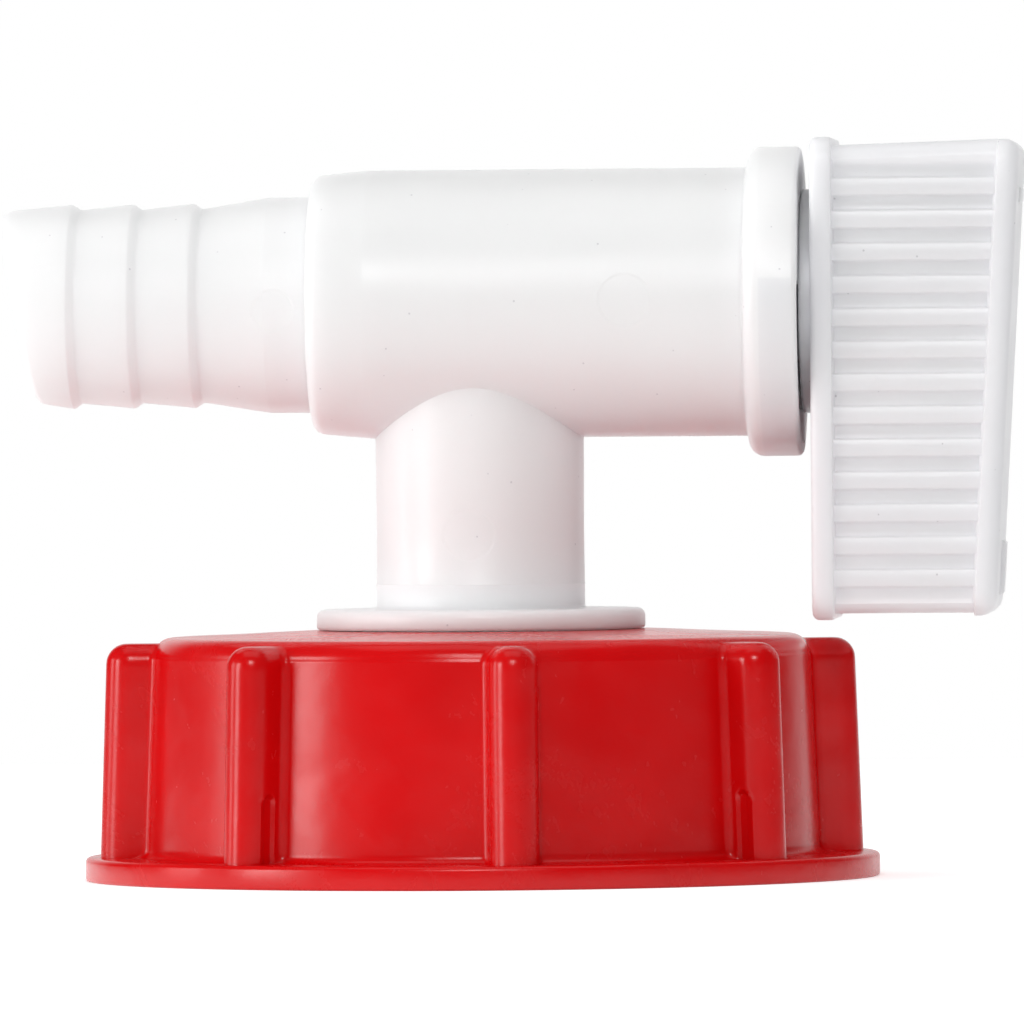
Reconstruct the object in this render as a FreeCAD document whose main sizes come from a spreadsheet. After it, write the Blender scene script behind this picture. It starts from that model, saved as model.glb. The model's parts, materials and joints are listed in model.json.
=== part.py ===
import FreeCAD, Part
import os
import re
import Sketcher

# Moulded drain valve for a container: a ribbed screw cap carries a swivelling
# tap whose hollow plug is turned a quarter turn by a lever.
# The origin is the centre of the cap's open mouth. +Z runs up the cap's axis
# and +X along the barrel towards the lever. The hose tail points to -X.
# Every length is in millimetres and every angle in degrees.

document = FreeCAD.newDocument("drain_valve")

CAP_SIZES = (
    ("neck_bore", 30.6, "radius of the wall that takes the container neck"),
    ("cap_wall", 3.5, "thickness of that wall at the mouth"),
    ("cap_draft", 1.0, "radius that the wall loses up to the roof"),
    ("cap_height", 24.4, "rim of the roof above the mouth"),
    ("cap_round", 2.0, "rounding of the roof's rim"),
    ("roof_thickness", 2.3, "thickness of the roof at its rim"),
    ("crown_rise", 0.6, "height of the raised seat in the middle"),
    ("crown_margin", 0.6, "how far that seat shows round the tap's flange"),
    ("crown_slope", 13.0, "width of the slope round the seat"),
    ("flange_width", 5.9, "how far the mouth's flange stands out"),
    ("flange_thickness", 2.4, "thickness of the mouth's flange"),
    ("flange_round", 0.5, "rounding of the flange's upper edge"),
    ("thread_length", 13.6, "length of the wall that carries the neck thread"),
    ("chamber_step", 0.7, "how much narrower the cap is above that thread"),
    ("rib_count", 8, "grip ribs round the cap"),
    ("rib_width", 4.8, "width of one rib"),
    ("rib_reach", 4.5, "how far a rib stands out of the wall"),
    ("rib_draft", 1.2, "slope of a rib's faces"),
    ("rib_drop", 0.5, "top of a rib below the rim of the roof"),
    ("rib_round", 1.1, "rounding of a rib's top"),
    ("rib_turn", 8.7, "first rib's angle from +X"),
    ("nick_width", 1.7, "shallow nick in each flank of a rib"),
    ("nick_height", 6.8, "height of that nick above the flange"),
    ("nick_depth", 0.4, "depth of that nick"),
)

SWIVEL_SIZES = (
    ("swivel_gap", 0.1, "gap above and below the roof where the tap turns"),
    ("swivel_clearance", 0.08, "gap round the spigot in the roof"),
    ("spigot_radius", 13.2, "three-quarter-inch pipe thread, outside"),
    ("spigot_drop", 8.0, "spigot below the roof"),
    ("spigot_wall", 3.6, "wall of the spigot"),
    ("nut_clearance", 0.1, "gap between nut and spigot"),
    ("nut_height", 6.9, "height of the flanged nut"),
    ("nut_wall", 3.3, "nut outside the spigot, across its flats"),
    ("nut_side_gap", 1.3, "gap between the nut's flange and the cap"),
    ("nut_flange_thickness", 2.4, "thickness of the nut's flange"),
    ("gasket_width", 5.2, "width of the flat neck gasket"),
    ("gasket_thickness", 2.4, "thickness of the neck gasket"),
    ("gasket_clearance", 0.1, "gap between gasket and its locating rim"),
    ("gasket_rim_width", 0.9, "width of the locating rim"),
    ("gasket_rim_height", 1.4, "height of the locating rim"),
    ("spigot_seal_section", 2.4, "thickness of the ring on the spigot"),
    ("seal_clearance", 0.04, "gap round a sealing ring"),
)

TAP_SIZES = (
    ("axis_height", 57.8, "barrel axis above the mouth of the cap"),
    ("seat_width", 3.35, "flange on the roof, beyond the spigot"),
    ("seat_thickness", 2.0, "thickness of that flange"),
    ("seat_round", 0.8, "rounding of its upper edge"),
    ("stub_wall", 3.9, "wall of the inlet stub at both ends"),
    ("stub_waist", 0.06, "how much slimmer the stub is half way up"),
    ("stub_fillet", 0.4, "fillet between stub and flange"),
    ("port_radius", 6.6, "inlet port into the barrel"),
    ("port_flare", 0.9, "how much wider the port is at the seat"),
    ("barrel_bore", 11.0, "radius of the bore that holds the plug"),
    ("barrel_wall", 2.5, "wall of the barrel"),
    ("barrel_taper", 0.55, "how much slimmer the outlet end is"),
    ("barrel_lead", 5.8, "length of the barrel's tapered end"),
    ("barrel_back", 16.7, "from the stub's axis to the outlet shoulder"),
    ("barrel_end_round", 1.2, "rounding of the outlet shoulder"),
    ("shoulder_thickness", 1.9, "wall between barrel and hose tail"),
    ("collar_start", 27.25, "from the stub's axis to the collar"),
    ("collar_length", 5.4, "length of the collar"),
    ("collar_rise", 2.05, "how far the collar stands out of the barrel"),
    ("collar_round", 1.5, "rounding of the collar's near edge"),
    ("collar_end_round", 0.5, "rounding of the collar's end"),
    ("slot_depth", 3.8, "depth of the stop slot in the collar's end"),
    ("slot_wall", 1.35, "wall left outside the stop slot"),
    ("travel", 90.0, "quarter turn of the plug"),
    ("lug_angle", 16.0, "width of the stop lug"),
    ("stop_play", 0.4, "play between lug and slot at each end"),
    ("snap_place", 24.5, "snap bead, from the stub's axis"),
    ("snap_width", 1.2, "width of the snap bead"),
    ("snap_rise", 0.5, "height of the snap bead"),
    ("snap_clearance", 0.1, "gap round the snap bead"),
)

TAIL_SIZES = (
    ("flow_bore", 7.75, "radius of the outlet bore"),
    ("tail_wall", 2.0, "wall of the hose tail between barbs"),
    ("barb_rise", 0.55, "height of a barb"),
    ("land_rise", 0.55, "how far the plain land stands above the barbs"),
    ("land_length", 4.3, "length of that land, where the hose ends"),
    ("barb_step", 0.8, "length of a barb's steep side"),
    ("barb_lead", 5.45, "first crest behind the middle of the tail's end"),
    ("barb_pitch", 6.15, "distance between crests"),
    ("barb_margin", 3.0, "least room between the last crest and the land"),
    ("tail_reach", 46.35, "middle of the slanted end, from the stub's axis"),
    ("tail_slant", 10.3, "slant of the hose tail's end"),
    ("tail_round", 1.0, "rounding of that end"),
)

PLUG_SIZES = (
    ("plug_clearance", 0.05, "gap round the plug in the barrel"),
    ("plug_end_gap", 0.3, "gap between plug and outlet shoulder"),
    ("plug_bore_end", 8.8, "end of the plug's bore past the stub's axis"),
    ("plug_face_gap", 0.5, "plug's shoulder inside the collar's end"),
    ("ring_section", 1.78, "thickness of a plug ring"),
    ("ring_outlet", 11.3, "outlet ring, from the stub's axis"),
    ("ring_lever", 14.0, "lever ring, from the stub's axis"),
    ("groove_width", 2.4, "width of a ring groove"),
    ("lug_play", 0.3, "gap round the stop lug"),
    ("stem_half", 6.0, "half the width of the square stem"),
    ("stem_round", 1.0, "rounding of the stem's corners"),
    ("stem_reach", 17.0, "length of the stem past the plug's shoulder"),
    ("core_radius", 3.6, "core hole in the stem"),
    ("core_depth", 29.0, "depth of the core hole"),
)

LEVER_SIZES = (
    ("lever_gap", 1.2, "gap between collar and lever"),
    ("lever_depth", 21.05, "lever along the barrel axis, at its top"),
    ("lever_lean", 2.7, "how much shallower it is at the bottom"),
    ("lever_up", 15.7, "lever above the axis, without its rims"),
    ("lever_down", 31.3, "lever below the axis, without its rims"),
    ("lever_flare", 0.5, "how much lower its top lies at the back than at the front"),
    ("lever_half", 11.6, "half the lever's width, without its rims"),
    ("lever_wall", 1.8, "wall of the lever"),
    ("lever_corner", 2.0, "rounding of the lever's corners"),
    ("rim_thickness", 2.2, "thickness of both rims"),
    ("back_rim_lip", 0.65, "how far the back rim stands proud"),
    ("back_rim_round", 0.7, "rounding of the back rim"),
    ("front_rim_lip", 0.3, "how far the front rim stands proud"),
    ("front_rim_round", 1.5, "rounding of the front face's edge"),
    ("flute_count", 14, "grip flutes on each side"),
    ("flute_pitch", 3.26, "distance between flutes"),
    ("flute_width", 1.6, "width of a flute"),
    ("flute_depth", 0.6, "depth of a flute"),
    ("flute_first", 2.75, "first flute below the top of the lever"),
    ("hub_seat", 0.25, "how far the hub overlaps the collar's end"),
    ("hub_gap", 0.1, "gap between hub and collar"),
    ("socket_wall", 1.0, "wall of the hub at the socket's corners"),
    ("socket_clearance", 0.08, "gap round the stem in its socket"),
    ("web_thickness", 1.6, "webs inside the lever"),
    ("web_setback", 1.4, "webs' edge behind the back rim"),
    ("web_place", 21.5, "cross web below the axis"),
)

sheet = document.addObject("Spreadsheet::Sheet", "sizes")
ALIASES = []
row = 0
for group in (CAP_SIZES, SWIVEL_SIZES, TAP_SIZES, TAIL_SIZES, PLUG_SIZES, LEVER_SIZES):
    for alias, value, note in group:
        row += 1
        sheet.set("A%d" % row, note)
        sheet.set("B%d" % row, str(value))
        sheet.setAlias("B%d" % row, alias)
        ALIASES.append(alias)
document.recompute()

# Radii and places that several pieces share, written once in terms of the sizes
SEAT_RADIUS = "(spigot_radius + seat_width)"
NUT_FLANGE = "(neck_bore - chamber_step - nut_side_gap)"
NUT_FLAT = "(spigot_radius + nut_wall)"
BARREL_RADIUS = "(barrel_bore + barrel_wall)"
BARREL_END_RADIUS = "(barrel_bore + barrel_wall - barrel_taper)"
COLLAR_RADIUS = "(barrel_bore + barrel_wall + collar_rise)"
STUB_RADIUS = "(port_radius + stub_wall)"
BARB_ROOT = "(flow_bore + tail_wall)"
BARB_CREST = "(flow_bore + tail_wall + barb_rise)"
LAND_RADIUS = "(flow_bore + tail_wall + barb_rise + land_rise)"
LAND_END = "(barrel_back + land_length)"
BARB_COUNT = "floor((tail_reach - barb_lead - barb_margin - %s) / barb_pitch) + 1" % LAND_END
HUB_RADIUS = "(barrel_bore + hub_seat)"
SOCKET_RADIUS = "((stem_half + socket_clearance) / cos(45) + socket_wall)"
SEAT_LEVEL = "(cap_height + crown_rise + swivel_gap - axis_height)"
ROOF_UNDER = "(cap_height - roof_thickness)"
NUT_TOP = "(cap_height - roof_thickness - swivel_gap)"
COLLAR_END = "(collar_start + collar_length)"
PLUG_RADIUS = "(barrel_bore - plug_clearance)"
PLUG_FACE = "(collar_start + collar_length - plug_face_gap)"
LEVER_BACK = "(collar_start + collar_length + lever_gap)"
LEVER_FRONT = "(collar_start + collar_length + lever_gap + lever_depth)"
GASKET_INNER = "(neck_bore - chamber_step - nut_side_gap - gasket_width)"
SPIGOT_SEAL_RADIUS = "(spigot_radius + seal_clearance + spigot_seal_section / 2)"
SLOT_RADIUS = "(barrel_bore + barrel_wall + collar_rise - slot_wall)"
SPIGOT_FOOT = "(cap_height - roof_thickness - axis_height - spigot_drop)"

WORD = re.compile(r"[a-z_]+")
SAME = 0.01    # two places closer than this are one
PAST = "1"     # how far a cut starts outside the solid
SINK = "0.2"   # how far an added feature starts inside the solid


def in_sheet(text):
    """Write an expression over the aliases as one over the sheet's cells."""
    def cell(match):
        word = match.group(0)
        return "sizes." + word if word in ALIASES else word
    return WORD.sub(cell, text)


def value_of(text):
    """The number that an expression over the aliases gives now."""
    result = sheet.evalExpression(in_sheet(text))
    return float(getattr(result, "Value", result))


def bind(thing, path, text):
    thing.setExpression(path, in_sheet(text))


def new_body(label):
    body = document.addObject("PartDesign::Body", label)
    body.Label = label
    return body


def origin_item(body, role):
    """One of a body's own planes or axes."""
    return next(item for item in body.Origin.OriginFeatures if item.Role == role)


def new_sketch(body, name, role, offset=None):
    """A sketch on an origin plane of its body, moved along the plane's normal."""
    sketch = body.newObject("Sketcher::SketchObject", name)
    sketch.AttachmentSupport = (origin_item(body, role), [""])
    sketch.MapMode = "FlatFace"
    if offset:
        bind(sketch, "AttachmentOffset.Base.z", offset)
    return sketch


def hold_point(sketch, geometry, end, point):
    """Tie one end of an edge to its place, given as two expressions."""
    for kind, axis, text in (("DistanceX", -2, point[0]), ("DistanceY", -1, point[1])):
        if text == "0":
            sketch.addConstraint(Sketcher.Constraint("PointOnObject", geometry, end, axis))
        else:
            rule = Sketcher.Constraint(kind, -1, 1, geometry, end, value_of(text))
            index = sketch.addConstraint(rule)
            bind(sketch, "Constraints[%d]" % index, text)


def draw_outline(sketch, points):
    """Close a ring of straight edges through points given as expressions."""
    places = [FreeCAD.Vector(value_of(x), value_of(y), 0) for x, y in points]
    first = len(sketch.Geometry)
    count = len(points)
    for index in range(count):
        start, finish = places[index], places[(index + 1) % count]
        sketch.addGeometry(Part.LineSegment(start, finish), False)
    for index in range(count):
        here, there = first + index, first + (index + 1) % count
        sketch.addConstraint(Sketcher.Constraint("Coincident", here, 2, there, 1))
        hold_point(sketch, here, 1, points[index])


def draw_circle(sketch, radius, x="0", y="0"):
    centre = FreeCAD.Vector(value_of(x), value_of(y), 0)
    circle = Part.Circle(centre, FreeCAD.Vector(0, 0, 1), value_of(radius))
    index = sketch.addGeometry(circle, False)
    rule = sketch.addConstraint(Sketcher.Constraint("Radius", index, value_of(radius)))
    bind(sketch, "Constraints[%d]" % rule, radius)
    hold_point(sketch, index, 3, (x, y))


def box_points(left, right, low, high):
    return [(left, low), (right, low), (right, high), (left, high)]


def revolve(body, name, role, points, axis, cut=False):
    """Turn an outline about the sketch's own axis, adding or cutting."""
    sketch = new_sketch(body, name + "_profile", role)
    draw_outline(sketch, points)
    kind = "PartDesign::Groove" if cut else "PartDesign::Revolution"
    feature = body.newObject(kind, name)
    feature.Profile = sketch
    feature.ReferenceAxis = (sketch, [axis])
    feature.Angle = 360
    document.recompute()
    return feature


def extrude(body, name, sketch, length, cut=False, both=False, reverse=False):
    """Pad or pocket a sketch by a length, from it or to both sides of it."""
    kind = "PartDesign::Pocket" if cut else "PartDesign::Pad"
    feature = body.newObject(kind, name)
    feature.Profile = sketch
    feature.Type = "Length"
    feature.Midplane = both
    feature.Reversed = reverse
    bind(feature, "Length", length)
    document.recompute()
    return feature


def round_off(body, name, base, radius, chosen):
    """Fillet the edges of the base feature that the test picks."""
    names = []
    for index, edge in enumerate(base.Shape.Edges, start=1):
        if chosen(edge):
            names.append("Edge%d" % index)
    if not names:
        raise RuntimeError("no edge found for " + name)
    fillet = body.newObject("PartDesign::Fillet", name)
    fillet.Base = (base, names)
    bind(fillet, "Radius", radius)
    document.recompute()
    return fillet


def circle_at(radius, axis, place):
    """A test for circles of one radius whose centre has one place along an axis."""
    def test(edge):
        if not isinstance(edge.Curve, Part.Circle):
            return False
        centre = edge.Curve.Center
        near_radius = abs(edge.Curve.Radius - value_of(radius)) < SAME
        return near_radius and abs(getattr(centre, axis) - value_of(place)) < SAME
    return test


def must_shrink(before, feature, body):
    """A cut that leaves the volume as it was has missed the solid."""
    if feature.Shape.Volume > before - SAME:
        raise RuntimeError(feature.Name + " cuts nothing from " + body.Label)


def make_screw_cap():
    """Red cap: drafted wall, crowned roof, mouth flange and grip ribs."""
    body = new_body("screw_cap")
    wall_top = "neck_bore + cap_wall - cap_draft"
    wall_low = "neck_bore + cap_wall - cap_draft * flange_thickness / cap_height"
    flange = "neck_bore + cap_wall + flange_width"
    hole = "spigot_radius + swivel_clearance"
    crown = SEAT_RADIUS + " + crown_margin"
    chamber = "neck_bore - chamber_step"
    shell = revolve(body, "shell", "XZ_Plane", [
        ("neck_bore", "0"),
        (flange, "0"),
        (flange, "flange_thickness"),
        (wall_low, "flange_thickness"),
        (wall_top, "cap_height"),
        (crown + " + crown_slope", "cap_height"),
        (crown, "cap_height + crown_rise"),
        (hole, "cap_height + crown_rise"),
        (hole, ROOF_UNDER),
        (chamber, ROOF_UNDER),
        (chamber, "thread_length + chamber_step"),
        ("neck_bore", "thread_length"),
    ], "V_Axis")
    shell = round_off(body, "roof_edge", shell, "cap_round",
                      circle_at(wall_top, "z", "cap_height"))
    round_off(body, "flange_edge", shell, "flange_round",
              circle_at(flange, "z", "flange_thickness"))
    add_ribs(body)
    round_rib_tops(body)
    for rib, side in NICKED_FLANKS:
        cut_nick(body, rib, side)
    bind(body, "Placement.Rotation.Angle", "rib_turn")
    return body


# The ribs start deep inside the wall, and four of their flanks have a nick:
# the number of the rib and the side of it
RIB_ROOT = "(neck_bore + cap_wall / 10)"
NICKED_FLANKS = ((1, 1), (3, -1), (5, 1), (7, -1))


def round_rib_tops(body):
    """Soften the top of every rib where it stands out of the wall."""
    wall_top = value_of("neck_bore + cap_wall - cap_draft")
    level = value_of("cap_height - rib_drop")

    def nose(edge):
        middle = edge.valueAt((edge.FirstParameter + edge.LastParameter) / 2)
        outside = (middle.x ** 2 + middle.y ** 2) ** 0.5 > wall_top
        return outside and abs(middle.z - level) < SAME
    round_off(body, "rib_tops", body.Tip, "rib_round", nose)


def add_ribs(body):
    """One round-fronted rib, repeated round the cap."""
    outline = new_sketch(body, "rib_outline", "XY_Plane", "flange_thickness - " + SINK)
    inner = value_of(RIB_ROOT)
    nose = value_of("neck_bore + cap_wall + rib_reach - rib_width / 2")
    half = value_of("rib_width / 2")
    corners = [(nose, -half), (inner, -half), (inner, half), (nose, half)]
    points = [FreeCAD.Vector(x, y, 0) for x, y in corners]
    for start, finish in zip(points, points[1:]):
        outline.addGeometry(Part.LineSegment(start, finish), False)
    tip = FreeCAD.Vector(nose + half, 0, 0)
    outline.addGeometry(Part.Arc(points[3], tip, points[0]), False)
    for here, end, there, start in ((0, 2, 1, 1), (1, 2, 2, 1)):
        outline.addConstraint(Sketcher.Constraint("Coincident", here, end, there, start))
    # The arc is stored anticlockwise, so it starts at the lower corner
    outline.addConstraint(Sketcher.Constraint("Coincident", 3, 1, 0, 1))
    outline.addConstraint(Sketcher.Constraint("Coincident", 3, 2, 2, 2))
    nose_text = "neck_bore + cap_wall + rib_reach - rib_width / 2"
    hold_point(outline, 0, 1, (nose_text, "-rib_width / 2"))
    hold_point(outline, 1, 1, (RIB_ROOT, "-rib_width / 2"))
    hold_point(outline, 2, 1, (RIB_ROOT, "rib_width / 2"))
    hold_point(outline, 2, 2, (nose_text, "rib_width / 2"))
    rule = outline.addConstraint(Sketcher.Constraint("DistanceX", -1, 1, 3, 3, nose))
    bind(outline, "Constraints[%d]" % rule, nose_text)
    rib = extrude(body, "rib", outline, "cap_height - rib_drop - flange_thickness + " + SINK)
    bind(rib, "TaperAngle", "-rib_draft")
    document.recompute()
    pattern = body.newObject("PartDesign::PolarPattern", "ribs")
    pattern.Originals = [rib]
    pattern.Axis = (origin_item(body, "Z_Axis"), [""])
    pattern.Angle = 360
    bind(pattern, "Occurrences", "rib_count")
    body.Tip = pattern
    document.recompute()
    return pattern


def cut_nick(body, rib, side):
    """A shallow slot in one flank of a rib, standing on the flange."""
    name = "nick_%d" % rib
    sketch = new_sketch(body, name + "_outline", "XZ_Plane")
    turn = "(%d * 360 / rib_count)" % rib
    away = "(%d * (rib_width / 2 - nick_depth))" % -side
    sketch.AttachmentOffset.Rotation.Axis = FreeCAD.Vector(0, 1, 0)
    bind(sketch, "AttachmentOffset.Rotation.Angle", turn)
    bind(sketch, "AttachmentOffset.Base.x", "%s * sin(%s)" % (away, turn))
    bind(sketch, "AttachmentOffset.Base.z", "%s * cos(%s)" % (away, turn))
    middle = "neck_bore + cap_wall + rib_reach - rib_width / 2 - nick_width / 2"
    draw_outline(sketch, box_points(
        middle + " - nick_width / 2", middle + " + nick_width / 2",
        "flange_thickness", "flange_thickness + nick_height"))
    before = body.Tip.Shape.Volume
    nick = extrude(body, name, sketch, "2 * nick_depth", cut=True, reverse=side < 0)
    must_shrink(before, nick, body)
    return nick


def make_clamp_nut():
    """Flanged nut under the roof: hexagon, flange and rim for the gasket."""
    body = new_body("clamp_nut")
    sketch = new_sketch(body, "hexagon", "XY_Plane", NUT_TOP)
    corners = []
    for index in range(6):
        angle = 60 * index + 30
        corners.append(("%s / cos(30) * cos(%d)" % (NUT_FLAT, angle),
                        "%s / cos(30) * sin(%d)" % (NUT_FLAT, angle)))
    corners = [(x if abs(value_of(x)) > 1e-6 else "0", y) for x, y in corners]
    draw_outline(sketch, corners)
    extrude(body, "hexagon_block", sketch, "nut_height", reverse=True)
    rim = "%s - gasket_clearance" % GASKET_INNER
    flange_under = "%s - nut_flange_thickness" % NUT_TOP
    revolve(body, "flange", "XZ_Plane", [
        (NUT_FLAT + " / 2", flange_under),
        (rim + " - gasket_rim_width", flange_under),
        (rim + " - gasket_rim_width", flange_under + " - gasket_rim_height"),
        (rim, flange_under + " - gasket_rim_height"),
        (rim, flange_under),
        (NUT_FLANGE, flange_under),
        (NUT_FLANGE, NUT_TOP),
        (NUT_FLAT + " / 2", NUT_TOP),
    ], "V_Axis")
    before = body.Tip.Shape.Volume
    hole = "spigot_radius + nut_clearance"
    pocket = "%s + spigot_seal_section / 2 + seal_clearance" % SPIGOT_SEAL_RADIUS
    bore = revolve(body, "bore", "XZ_Plane", [
        ("0", NUT_TOP + " - nut_height - " + PAST),
        (hole, NUT_TOP + " - nut_height - " + PAST),
        (hole, NUT_TOP + " - spigot_seal_section"),
        (pocket, NUT_TOP + " - spigot_seal_section"),
        (pocket, NUT_TOP + " + " + PAST),
        ("0", NUT_TOP + " + " + PAST),
    ], "V_Axis", cut=True)
    must_shrink(before, bore, body)
    return body


def make_neck_gasket():
    """Flat ring that the container's lip presses against the nut's flange."""
    body = new_body("neck_gasket")
    sketch = new_sketch(body, "ring", "XY_Plane", NUT_TOP + " - nut_flange_thickness")
    draw_circle(sketch, NUT_FLANGE)
    draw_circle(sketch, GASKET_INNER)
    extrude(body, "gasket", sketch, "gasket_thickness", reverse=True)
    return body


def make_ring(label, radius, section, along, place):
    """A sealing ring of round section, standing across the X or Z axis."""
    ring = document.addObject("Part::Torus", label)
    ring.Label = label
    bind(ring, "Radius1", radius)
    bind(ring, "Radius2", section + " / 2")
    if along == "x":
        ring.Placement.Rotation = FreeCAD.Rotation(FreeCAD.Vector(0, 1, 0), 90)
        bind(ring, "Placement.Base.x", place)
        bind(ring, "Placement.Base.z", "axis_height")
    else:
        bind(ring, "Placement.Base.z", place)
    document.recompute()
    return ring


def tail_points():
    """Barbed hose tail from its open end to the shoulder of the barrel."""
    far = "-(tail_reach + %s)" % BARB_CREST
    points = [(far, "0"), (far, BARB_ROOT)]
    for index in range(int(value_of(BARB_COUNT))):
        crest = "(tail_reach - barb_lead - %d * barb_pitch)" % index
        points.append(("-%s" % crest, BARB_CREST))
        points.append(("-%s + barb_step" % crest, BARB_ROOT))
    points.append(("-" + LAND_END, LAND_RADIUS))
    points.append(("-barrel_back", LAND_RADIUS))
    return points


def make_tap_body():
    """Barrel with collar and hose tail, crossed by the inlet stub."""
    body = new_body("tap_body")
    outside = tail_points() + [
        ("-barrel_back", BARREL_END_RADIUS),
        ("-(barrel_back - barrel_lead)", BARREL_RADIUS),
        ("collar_start", BARREL_RADIUS),
        ("collar_start", COLLAR_RADIUS),
        (COLLAR_END, COLLAR_RADIUS),
        (COLLAR_END, "0"),
    ]
    barrel = revolve(body, "barrel", "XZ_Plane", outside, "H_Axis")
    barrel = round_off(body, "collar_edge", barrel, "collar_round",
                       circle_at(COLLAR_RADIUS, "x", "collar_start"))
    barrel = round_off(body, "barrel_edge", barrel, "barrel_end_round",
                       circle_at(BARREL_END_RADIUS, "x", "-barrel_back"))
    barrel = round_off(body, "collar_end_edge", barrel, "collar_end_round",
                       circle_at(COLLAR_RADIUS, "x", COLLAR_END))
    add_stub(body)
    cut_bores(body)
    cut_tail_end(body)
    cut_stop_slot(body)
    bind(body, "Placement.Base.z", "axis_height")
    return body


def add_stub(body):
    """Waisted inlet stub, round seat flange and the spigot below it."""
    seat_top = SEAT_LEVEL + " + seat_thickness"
    stub = revolve(body, "stub", "XZ_Plane", [
        ("0", SPIGOT_FOOT),
        ("spigot_radius", SPIGOT_FOOT),
        ("spigot_radius", SEAT_LEVEL),
        (SEAT_RADIUS, SEAT_LEVEL),
        (SEAT_RADIUS, seat_top),
        (STUB_RADIUS, seat_top),
        (STUB_RADIUS + " - stub_waist", "(%s - %s) / 2" % (seat_top, BARREL_RADIUS)),
        (STUB_RADIUS, "-" + BARREL_RADIUS),
        (STUB_RADIUS, "0"),
        ("0", "0"),
    ], "V_Axis")
    stub = round_off(body, "seat_edge", stub, "seat_round",
                     circle_at(SEAT_RADIUS, "z", seat_top))
    return round_off(body, "stub_edge", stub, "stub_fillet",
                     circle_at(STUB_RADIUS, "z", seat_top))


def cut_bores(body):
    """Outlet bore, plug bore with its snap groove, and the inlet port."""
    before = body.Tip.Shape.Volume
    inner_end = "-(barrel_back - shoulder_thickness)"
    groove_half = "(snap_width / 2 + snap_clearance)"
    groove_radius = PLUG_RADIUS + " + snap_rise + snap_clearance"
    far = "-(tail_reach + %s + %s)" % (BARB_CREST, PAST)
    bore = revolve(body, "plug_bore", "XZ_Plane", [
        (far, "0"),
        (far, "flow_bore"),
        (inner_end, "flow_bore"),
        (inner_end, "barrel_bore"),
        ("snap_place - " + groove_half, "barrel_bore"),
        ("snap_place - " + groove_half, groove_radius),
        ("snap_place + " + groove_half, groove_radius),
        ("snap_place + " + groove_half, "barrel_bore"),
        (COLLAR_END + " + " + PAST, "barrel_bore"),
        (COLLAR_END + " + " + PAST, "0"),
    ], "H_Axis", cut=True)
    must_shrink(before, bore, body)
    before = bore.Shape.Volume
    port = revolve(body, "inlet_port", "XZ_Plane", [
        ("0", SPIGOT_FOOT + " - " + PAST),
        ("spigot_radius - spigot_wall", SPIGOT_FOOT + " - " + PAST),
        ("spigot_radius - spigot_wall", SEAT_LEVEL),
        ("port_radius + port_flare", SEAT_LEVEL + " + seat_thickness"),
        ("port_radius", "-" + BARREL_RADIUS),
        ("port_radius", "-plug_clearance"),
        ("0", "-plug_clearance"),
    ], "V_Axis", cut=True)
    must_shrink(before, port, body)


def cut_tail_end(body):
    """Slanted end of the hose tail, longer on the side away from the cap."""
    sketch = new_sketch(body, "slant", "XZ_Plane")
    reach = "2 * " + BARB_CREST
    top = "-tail_reach - %s * tan(tail_slant)" % reach
    low = "-tail_reach + %s * tan(tail_slant)" % reach
    far = "-tail_reach - 3 * " + BARB_CREST
    draw_outline(sketch, [(far, "-" + reach), (low, "-" + reach), (top, reach), (far, reach)])
    before = body.Tip.Shape.Volume
    cut = extrude(body, "slanted_end", sketch, "2 * " + reach, cut=True, both=True)
    must_shrink(before, cut, body)
    slope = value_of("tan(tail_slant)")
    reach_now = value_of("-tail_reach")
    wall_middle = value_of("flow_bore + tail_wall / 2")

    def outer_end_edge(edge):
        middle = edge.valueAt((edge.FirstParameter + edge.LastParameter) / 2)
        start = edge.valueAt(edge.FirstParameter)
        on_slant = all(abs(p.x - reach_now + p.z * slope) < SAME for p in (middle, start))
        away = (middle.y ** 2 + middle.z ** 2) ** 0.5
        return on_slant and away > wall_middle
    return round_off(body, "tail_edge", cut, "tail_round", outer_end_edge)


def sector(sketch, radius, start, finish):
    """A wedge from the sketch's origin: two radii and the arc between them."""
    centre = FreeCAD.Vector(0, 0, 0)
    ends = []
    for angle in (start, finish):
        ends.append(("(%s) * cos(%s)" % (radius, angle), "(%s) * sin(%s)" % (radius, angle)))
    places = [FreeCAD.Vector(value_of(x), value_of(y), 0) for x, y in ends]
    sketch.addGeometry(Part.LineSegment(centre, places[0]), False)
    sketch.addGeometry(Part.LineSegment(places[1], centre), False)
    half = "(%s + %s) / 2" % (start, finish)
    middle = FreeCAD.Vector(value_of("(%s) * cos(%s)" % (radius, half)),
                            value_of("(%s) * sin(%s)" % (radius, half)), 0)
    sketch.addGeometry(Part.Arc(places[0], middle, places[1]), False)
    for pair in ((0, 1, -1, 1), (1, 2, -1, 1), (2, 1, 0, 2), (2, 2, 1, 1), (2, 3, -1, 1)):
        sketch.addConstraint(Sketcher.Constraint("Coincident", *pair))
    hold_point(sketch, 0, 2, ends[0])
    rule = Sketcher.Constraint("DistanceY", -1, 1, 1, 1, places[1].y)
    index = sketch.addConstraint(rule)
    bind(sketch, "Constraints[%d]" % index, ends[1][1])


# Angles in a sketch across the barrel: 180 is the -Y side, 270 is straight down
STOP_START = "(270 - travel - lug_angle / 2 - stop_play)"
STOP_END = "(270 + lug_angle / 2 + stop_play)"


def cut_stop_slot(body):
    """Slot in the collar's end that the plug's lug swings in."""
    sketch = new_sketch(body, "stop_wedge", "YZ_Plane", COLLAR_END)
    sector(sketch, SLOT_RADIUS, STOP_START, STOP_END)
    before = body.Tip.Shape.Volume
    slot = extrude(body, "stop_slot", sketch, "slot_depth", cut=True)
    must_shrink(before, slot, body)


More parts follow.
